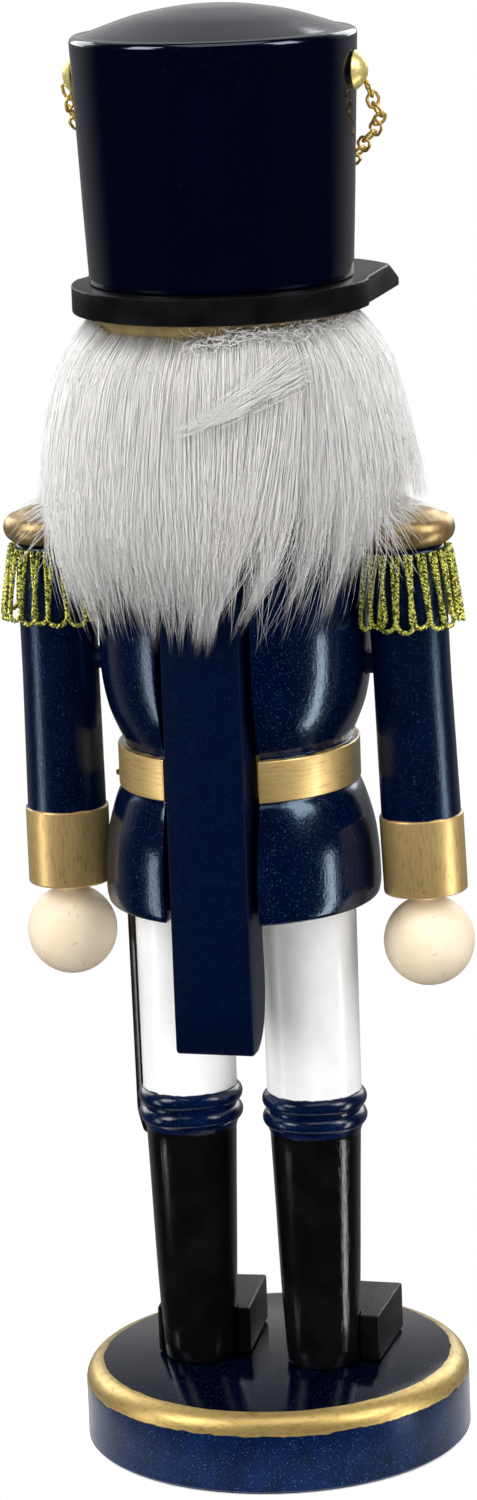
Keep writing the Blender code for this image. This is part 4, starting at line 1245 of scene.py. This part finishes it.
def hair_lines(rng, count, points):
    """Centre lines of the pile: roots on the head, each hair laid down in its lock."""
    order = np.arange(count)
    turn = HAIR_REACH * (2 * (order + rng.random(count)) / count - 1)
    layer = (order * 0.6180340) % 1.0
    layer = layer ** np.where((order * 0.3247180) % 1.0 < 0.7, 0.25, 0.9)
    top = hair_top(turn)
    root = 0.2570 + (top - 0.2570) * layer**0.8 - rng.random(count) * 0.0012
    low_limit = np.where(np.abs(turn) < math.radians(23), 0.2800, 0.2570)
    root = np.maximum(root, low_limit + rng.random(count) * 0.004)
    centres = np.radians([lock[0] for lock in LOCKS])
    tips = np.array([lock[1] for lock in LOCKS])
    spread = np.radians(rng.normal(0, 2.0, count))
    lock = np.abs(turn[:, None] + spread[:, None] - centres[None]).argmin(1)
    tufts = 15
    tuft = lock * tufts + rng.integers(0, tufts, count)
    tuft_turn = rng.uniform(-1, 1, len(LOCKS) * tufts)[tuft] * math.radians(3.4)
    tuft_tip = 0.026 * rng.random(len(LOCKS) * tufts)[tuft] ** 0.85 - 0.0060
    tuft_layer = rng.uniform(0.15, 1.0, len(LOCKS) * tufts)[tuft]
    tip = tips[lock] + tuft_tip + rng.exponential(0.0016, count) + 0.0030 * (1 - layer) * rng.random(count)
    tip = tip + np.where(rng.random(count) < 0.25, rng.random(count) * 0.018, 0)
    tip = np.minimum(tip, root - 0.012)
    along = np.linspace(0, 1, points)[None]
    z = root[:, None] + (tip - root)[:, None] * along
    heights, swings = sweep_table(centres)
    own = np.zeros_like(z)
    for i in range(len(LOCKS)):
        mine = lock == i
        own[mine] = np.interp(z[mine], heights, swings[i])
    home = tips[lock][:, None]
    gather = 1 - smoothstep(z, home - 0.003, home + 0.026)
    offset = turn - centres[lock]
    drawn = offset[:, None] * (1 - 0.30 * gather)
    tuft_pull = 1 - smoothstep(z, tip[:, None], tip[:, None] + 0.020)
    drawn = drawn + (tuft_turn[:, None] - drawn) * 0.88 * tuft_pull**1.3
    wave = rng.uniform(0, 6.28, (count, 1))
    sway = np.radians(0.75) * np.sin(along * rng.uniform(3, 7, (count, 1)) + wave)
    sway = sway + np.radians(1.3) * np.sin(turn[:, None] * 11 + z * 95) * np.sin(turn[:, None] * 4 + 1)
    angle = centres[lock][:, None] + drawn + own + sway * along
    depth = layer[:, None] + (tuft_layer[:, None] - layer[:, None]) * 0.7 * gather
    near = np.where(np.abs(angle) < LEVER_NOTCH, 0.0384, 0.0362)
    inner = np.where(z > 0.262, 0.0346, near)
    inner = inner + (near - inner) * smoothstep(-z, -0.274, -0.262)
    outer = np.interp(z, SHELL_Z, SHELL_R)
    outer = outer + 0.0018 * smoothstep(-angle, 0.9, 1.6) * (1 - smoothstep(z, 0.258, 0.275))
    goal = inner + (outer - inner) * depth
    start = HEAD_RADIUS + 0.0010
    rise = 1 - np.exp(-(root[:, None] - z) / 0.0045)
    radius = start + (goal - start) * rise
    radius = radius + rng.normal(0, 0.00025, (count, 1)) * along
    return around_axis(radius, angle, z), angle


def stop_on_discs(lines):
    """Hairs that come down on an epaulette end on its top instead of passing through."""
    for side in SIDES:
        centre = shoulder_centre(side)
        far = np.linalg.norm(lines[..., :2] - centre, axis=-1)
        caught = ((far < 0.0118) & (lines[..., 2] < 0.2525)).any(1)
        root = lines[caught, :1, 2]
        tip = lines[caught, -1:, 2]
        share = (root - 0.2526) / np.maximum(root - tip, 1e-6)
        points = lines.shape[1]
        at = np.linspace(0, 1, points)[None] * np.clip(share, 0.1, 1) * (points - 1)
        low = np.clip(at.astype(int), 0, points - 2)
        part = (at - low)[..., None]
        rows = np.arange(caught.sum())[:, None]
        mine = lines[caught]
        lines[caught] = mine[rows, low] * (1 - part) + mine[rows, low + 1] * part
    return lines


def shoulder_wisps(rng, side, count, points):
    """Thin hairs that slide out over an epaulette's dome."""
    sign = SIDES[side]
    centre = shoulder_centre(side)
    out = rng.uniform(-0.2, 0.9, count)
    inward = centre[0] - sign * rng.uniform(0.004, 0.009, count)
    begin = np.stack([inward, centre[1] + rng.uniform(-0.006, 0.012, count)], 1)
    reach = rng.uniform(0.006, 0.015, count)
    heading = np.stack([sign * np.cos(out), 0.55 * np.abs(np.sin(out)) + rng.uniform(-0.2, 0.5, count)], 1)
    along = np.linspace(0, 1, points)
    bend = rng.normal(0, 0.0015, count)
    flat = begin[:, None] + heading[:, None] * (reach[:, None] * along[None])[..., None]
    flat[..., 1] += bend[:, None] * along[None] ** 2
    far = np.linalg.norm(flat - centre, axis=-1)
    dome = 0.2513 - 0.0024 * (np.clip(far, 0, 0.0133) / 0.0105) ** 3
    dome = np.where(far > 0.0128, dome - (far - 0.0128) * 1.2, dome)
    lift = 0.0045 * (1 - along[None]) ** 2 + rng.uniform(0.0002, 0.0012, (count, 1))
    return np.concatenate([flat, (dome + lift)[..., None]], -1)


def stray_lock(rng, count, points):
    """The thin lock that has slipped sideways across the back of the head."""
    seen = np.radians([-32, -26, -18, -8, 2, 12, 20])
    heights = [0.2895, 0.2905, 0.2890, 0.2860, 0.2822, 0.2790, 0.2778]
    grid = np.linspace(0, 1, 7)
    start = rng.uniform(0.0, 0.45, (count, 1))
    end = start + rng.uniform(0.35, 0.75, (count, 1))
    end = np.minimum(end, rng.uniform(0.82, 1.03, (count, 1)))
    along = np.linspace(0, 1, points)[None]
    t = start + (end - start) * along
    fan = rng.normal(0, 1, (count, 1)) * (1.15 - 0.95 * np.clip(t, 0, 1))
    turn = np.interp(t, grid, seen) - CAMERA_AZIMUTH
    lift = rng.normal(0, 0.0010, (count, 1)) * along**2
    z = np.interp(t, grid, heights) + fan * 0.0025 + lift + 0.0014 * (1 - along) ** 2
    radius = np.interp(z, SHELL_Z, SHELL_R) + 0.0011 + 0.0014 * np.sin(np.pi * along)
    radius = radius + rng.normal(0, 0.0003, (count, 1)) * along - 0.0026 * (1 - along) ** 3
    return around_axis(radius, turn, z)


def root_fuzz(rng, count, points):
    """Short crinkled hairs that stand up under the brim."""
    seen = rng.uniform(-62, 14, count)
    turn = np.radians(seen) - CAMERA_AZIMUTH
    along = np.linspace(0, 1, points)[None]
    curl = rng.uniform(0.8, 2.2, (count, 1)) * rng.choice((-1, 1), (count, 1))
    length = rng.uniform(0.0035, 0.0080, (count, 1))
    lean = rng.uniform(-1.2, 1.2, (count, 1))
    angle = lean + curl * along * 1.6
    sideways = np.cumsum(np.sin(angle), 1) * length / points
    down = np.cumsum(np.cos(angle), 1) * length / points
    top = hair_top(turn)[:, None] - rng.uniform(0, 0.0035, (count, 1))
    z = np.minimum(top - down * 0.8 + 0.0012 * np.sin(np.pi * along), 0.3024)
    radius = HEAD_RADIUS + 0.0012 + rng.uniform(0.002, 0.0052, (count, 1)) * (1 - np.exp(-along * 3))
    return around_axis(radius, turn[:, None] + sideways / 0.040, z)


def fly_aways(rng, count, points):
    """Loose single hairs that stand off the mass and hang past its ends."""
    turn = rng.uniform(-1.2, 1.0, count)
    along = np.linspace(0, 1, points)[None]
    root = rng.uniform(0.262, 0.289, (count, 1))
    tip = rng.uniform(0.2200, 0.2480, (count, 1))
    z = root + (tip - root) * along
    seen = seen_at(turn)
    slant = np.exp(-(((seen + 27) / 15) ** 2))[:, None]
    drift = (rng.normal(0, 0.08, (count, 1)) + slant * rng.uniform(0.10, 0.42, (count, 1))) * along**1.5
    radius = np.interp(z, SHELL_Z, SHELL_R) - 0.0006 + rng.uniform(0, 0.0016, (count, 1)) * along
    return clear_of_shoulders(around_axis(radius, turn[:, None] + drift, z))


def make_backing(finish):
    """The fur's woven backing, glued round the head."""
    low, high, sides = 0.2575, 0.2972, 72
    inner, thick = HEAD_RADIUS + 0.0002, 0.0006
    bm = bmesh.new()
    columns = []
    for i in range(sides + 1):
        turn = -HAIR_REACH + 2 * HAIR_REACH * i / sides
        bottom = NOTCH_TOP if abs(turn) < LEVER_NOTCH else low
        column = []
        for radius in (inner, inner + thick):
            for z in (bottom, high):
                column.append(bm.verts.new(around_axis(radius, turn, z)))
        columns.append(column)
    for a, b in zip(columns, columns[1:], strict=False):
        for p, q in ((0, 1), (1, 3), (3, 2), (2, 0)):
            bm.faces.new((a[p], a[q], b[q], b[p]))
    for end in (columns[0], columns[-1]):
        bm.faces.new((end[0], end[1], end[3], end[2]))
    piece = show("fur_backing", mesh_of("fur_backing", bm), finish, "figure")


def make_hair(finish):
    """The fur in a few pieces; the part over the lever and the loose hairs are left unattached, with their
    placing baked in.
    """
    rng = np.random.default_rng(11)
    make_backing(finish)
    points = 11
    lines, angle = hair_lines(rng, 11000, points)
    lines = clear_of_shoulders(stop_on_discs(lines))
    size = taper(rng, len(lines), points, 0.000112)
    low = lines[..., 2] < 0.2640
    over_lever = ((np.abs(lines[..., 0] - AXIS.x) < LEVER_HALF + 0.0012) & low).any(1)
    over_lever &= lines[:, -1, 1] > AXIS.y
    end = np.degrees(angle[:, -1])
    groups = {
        "hair_lever": over_lever,
        "hair_left": ~over_lever & (end > 48),
        "hair_back_left": ~over_lever & (end > 0) & (end <= 48),
        "hair_back_right": ~over_lever & (end <= 0) & (end > -46),
        "hair_right": ~over_lever & (end <= -46),
    }
    for name, mine in groups.items():
        mesh = strands(name, lines[mine], size[mine])
        if name == "hair_lever":
            piece = show(name, mesh, finish, None)
            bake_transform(piece)
        else:
            piece = show(name, mesh, finish, "figure")
        if name == "hair_back_left":
            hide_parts("hair")
    thin = {
        "hair_stray_lock": stray_lock(rng, 150, points),
        "hair_root_fuzz": root_fuzz(rng, 420, points),
    }
    for side, count in (("left", 150), ("right", 260)):
        thin["hair_wisps_" + side] = shoulder_wisps(rng, side, count, points)
    for name, path in thin.items():
        mesh = strands(name, path, taper(rng, len(path), points, 0.00009))
        show(name, mesh, finish, "figure")
    loose = fly_aways(rng, 420, points)
    mesh = strands("hair_fly_aways", loose, taper(rng, len(loose), points, 0.00007))
    piece = show("hair_fly_aways", mesh, finish, None)
    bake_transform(piece)


def make_beard(finish):
    """Hairs rooted on the jaw that hang down from it."""
    rng = np.random.default_rng(23)
    count, points = 2600, 10
    low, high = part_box("beard")
    width = (high.x - low.x) / 2 - 0.0008
    across = rng.uniform(-1, 1, count)
    layer = rng.random(count)
    root = low.z + (high.z - low.z) * (0.62 + 0.36 * layer) - 0.002 * across**2
    tuft = np.round(across * 7) / 7
    tip = low.z + 0.0008 + (0.0115 * np.abs(tuft) ** 1.8) + rng.random(count) * 0.0045
    along = np.linspace(0, 1, points)[None]
    z = root[:, None] + (tip - root)[:, None] * along
    gather = along**1.8
    x = across[:, None] * (1 - 0.22 * along) + (tuft * 0.78 - across * 0.78)[:, None] * 0.6 * gather
    x = AXIS.x + width * x + 0.0004 * np.sin(along * 5 + rng.uniform(0, 6, (count, 1)))
    belly = np.sin(np.pi * np.clip(along * 0.75 + 0.08, 0, 1)) ** 0.7
    thick = high.y - low.y
    y = high.y - 0.0006 - (thick - 0.0010) * belly * (0.25 + 0.75 * layer[:, None])
    y = y + 0.0022 * (x - AXIS.x) ** 2 / width**2
    lines = np.stack([x, y, z], -1)
    mesh = strands("beard_fur", lines, taper(rng, count, points, 0.00012))
    piece = show("beard_fur", mesh, finish, None, ["beard"])
    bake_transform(piece)


# ---- hat ----------------------------------------------------------------------------------------
def make_brim():
    """A round board that juts out as a peak in front, where its upper edge is bevelled."""
    back_radius, half, front = 0.0383, 0.0373, 0.0530
    corner = -math.degrees(math.acos(half / front))
    outline = [*arc((0, 0), back_radius, 0, 180, 61), (-half, -0.004), (-half, -0.020)]
    outline += arc((0, 0), front, -180 - corner, corner, 41)
    outline += [(half, -0.020), (half, -0.004)]
    thick = BRIM_TOP - BRIM_BOTTOM
    mesh = board("brim_board", outline, thick, 0.0, 1, on_axis(0, 0, BRIM_BOTTOM + thick / 2))
    bevel_radius, drop = 0.0462, 0.0046
    spread = front - bevel_radius + 0.004
    slope = drop / (front - bevel_radius)
    bm = bmesh.new()
    outer = bevel_radius + spread
    ring = [(bevel_radius - 0.002, 0.01), (outer, 0.01), (outer, -slope * spread)]
    ring += [(bevel_radius, 0.0), (bevel_radius - 0.002, 0.0006)]
    sides = 144
    rows = []
    for turn in (2 * math.pi * i / sides for i in range(sides)):
        rows.append([bm.verts.new((r * math.cos(turn), r * math.sin(turn), z)) for r, z in ring])
    for i in range(sides):
        for j in range(len(ring)):
            k = (j + 1) % len(ring)
            bm.faces.new((rows[i][j], rows[i][k], rows[(i + 1) % sides][k], rows[(i + 1) % sides][j]))
    bm.transform(on_axis(0, 0, BRIM_TOP))
    plane = mesh_of("plane", bm)
    dowel_hole = bore(HAT_BORE, 0.29, 0.32, on_axis())
    finish = plain_finish("brim_paint", BLACK, (0.005, 0.005, 0.006), 0.33, (1300, 1300, 1300),
                          0.00012, 1.0, Specular_IOR_Level=0.06)
    mesh = carved(mesh, [plane, dowel_hole], 0.0005)
    show("brim_board", mesh, finish, "figure", ["hat_brim"])


def make_crown():
    top, bottom = CROWN_TOP, CROWN_BOTTOM
    dome = [(0.0040, top - 0.0001), (0.0100, top - 0.0005), (0.0200, top - 0.0023)]
    dome += [(0.0280, top - 0.0048), (0.0336, top - 0.0068)]
    outline = [(0, top), *flowing(dome, 6)]
    outline += arc((RIM_RADIUS - 0.0017, RIM_Z - 0.0002), 0.0017, 68, 0, 8)
    outline.append((RIM_RADIUS - HAT_TAPER * 0.02, RIM_Z - 0.02))
    outline.append((CROWN_RADIUS + HAT_TAPER * 0.02, bottom + 0.02))
    foot = [(CROWN_RADIUS, bottom + 0.002), (CROWN_RADIUS, bottom), (HAT_BORE, bottom)]
    outline += rounded(foot, 0.0005, 3)
    outline += [(HAT_BORE, bottom + 0.016), (0, bottom + 0.016)]
    mesh = turned("crown_turning", outline, 160, on_axis(), 25)
    cuts = []
    for sign in SIDES.values():
        wall = on_axis(sign * hat_radius(TACK_Z), 0, TACK_Z)
        cuts.append(bore(0.0013, -0.011, 0.011, wall @ LYING_ACROSS, 24))
    show("crown_turning", carved(mesh, cuts), navy_finish(), "figure", ["hat_crown"])


def hat_radius(z):
    """The crown's radius, which grows with height."""
    return CROWN_RADIUS + (z - CROWN_BOTTOM) * HAT_TAPER


def make_tacks():
    finish = brass_finish("tack_brass", 0.34, 0.6)
    dome = [(0.0010, 0.0033), (0.0022, 0.0029), (0.0036, 0.0020), (0.0046, 0.0009), (0.0050, 0.0004)]
    outline = [(0, 0.0034), *flowing(dome, 4)]
    outline += [(0.0049, 0.00015), (0.0046, GAP), (0.0010, GAP), (0.0010, -0.0085), (0, -0.0100)]
    for side, sign in SIDES.items():
        turn = Matrix.Rotation(math.radians(sign * 90), 4, "Y")
        place = on_axis(sign * (hat_radius(TACK_Z) + 0.0004), 0, TACK_Z) @ turn
        name = "tack_" + side
        show(name, turned(name, outline, 64, place), finish, "figure", ["hat_" + name])


def chain_line(count=240):
    """The swag's middle line, as the CAD rod has it, with its ends run up to the tacks."""
    start = math.radians(3)
    points = []
    for i in range(count):
        around = start + i / (count - 1) * (math.pi - 2 * start)
        drop = 0.0330 * math.sin(around) ** 0.75
        turn = math.degrees(min(around, math.pi - around))
        slack = 0.0032 + 0.0026 * math.exp(-(((turn - 15) / 9) ** 2))
        radius = hat_radius(TACK_Z) - drop * HAT_TAPER + slack
        x, y = AXIS.x + radius * math.cos(around), AXIS.y - radius * math.sin(around)
        points.append((x, y, TACK_Z - drop - 0.0012))
    return np.array(points)


def link_ring(length, width, wire):
    """One oval link lying in the XY plane, as a closed line."""
    half, bend = (length - width) / 2, width / 2 - wire
    line = []
    for end, start in ((half, -math.pi / 2), (-half, math.pi / 2)):
        for turn in np.linspace(start, start + math.pi, 9):
            line.append((end + bend * math.cos(turn), bend * math.sin(turn), 0))
    return np.array(line)


def make_chain():
    """Oval links along the swag, each one turned across the last."""
    wire, length, width = 0.00043, 0.0057, 0.0041
    line, run = resampled(chain_line(), 0.0002)
    pitch = length - 4 * wire + 0.0001
    count = int(run[-1] / pitch)
    ring = link_ring(length, width, wire)
    rng = np.random.default_rng(5)
    links = []
    for i in range(count + 1):
        at = min(run[-1], i * run[-1] / count)
        back, place, ahead = (points_at(line, run, at + shift) for shift in (-0.001, 0, 0.001))
        along = unit(ahead - back)
        flat = unit(np.cross(unit((place - np.array(AXIS)) * (1, 1, 0)), along))
        face = np.cross(along, flat)
        roll = math.radians(38 if i % 2 else -44) + rng.normal(0, 0.30)
        side = flat * math.cos(roll) + face * math.sin(roll)
        links.append(tube("link", place + ring[:, :1] * along + ring[:, 1:2] * side, wire, 8, closed=True))
    finish = brass_finish("chain_brass", 0.24, 0.6, CHAIN_TONES)
    show("chain_links", joined("chain_links", links), finish, "chain", ["hat_chain"])


# ---- inner pieces kept from the CAD -------------------------------------------------------------
def finish_inner_pieces():
    """The dowels, screws and pin are shown as the CAD has them, with a finish."""
    grain, height = (1500, 1500, 150), 0.00005
    wood = plain_finish("dowel_wood", (0.62, 0.45, 0.27), (0.42, 0.27, 0.13), 0.55, grain, height)
    sprayed = plain_finish("dowel_navy", NAVY, NAVY_DEEP, 0.45, grain, height)
    steel = steel_finish()
    for name, obj in frame["nodes"].items():
        if obj.hide_render:
            continue
        finish = steel if ("screw" in name or "pin" in name) else wood
        if name.startswith("arm_dowel"):
            finish = sprayed
        obj.data.materials.clear()
        obj.data.materials.append(finish)


# ---- assembly -----------------------------------------------------------------------------------
make_camera()
make_world()
make_lights()
make_floor()
make_base()
make_legs()
make_feet()
make_coat()
make_buttons()
make_buckle()
make_arms()
make_fringes()
make_sword()
make_head()
make_nose()
make_moustache()
make_lever()
fur = fur_finish()
make_hair(fur)
make_beard(fur)
make_brim()
make_crown()
make_tacks()
make_chain()
finish_inner_pieces()
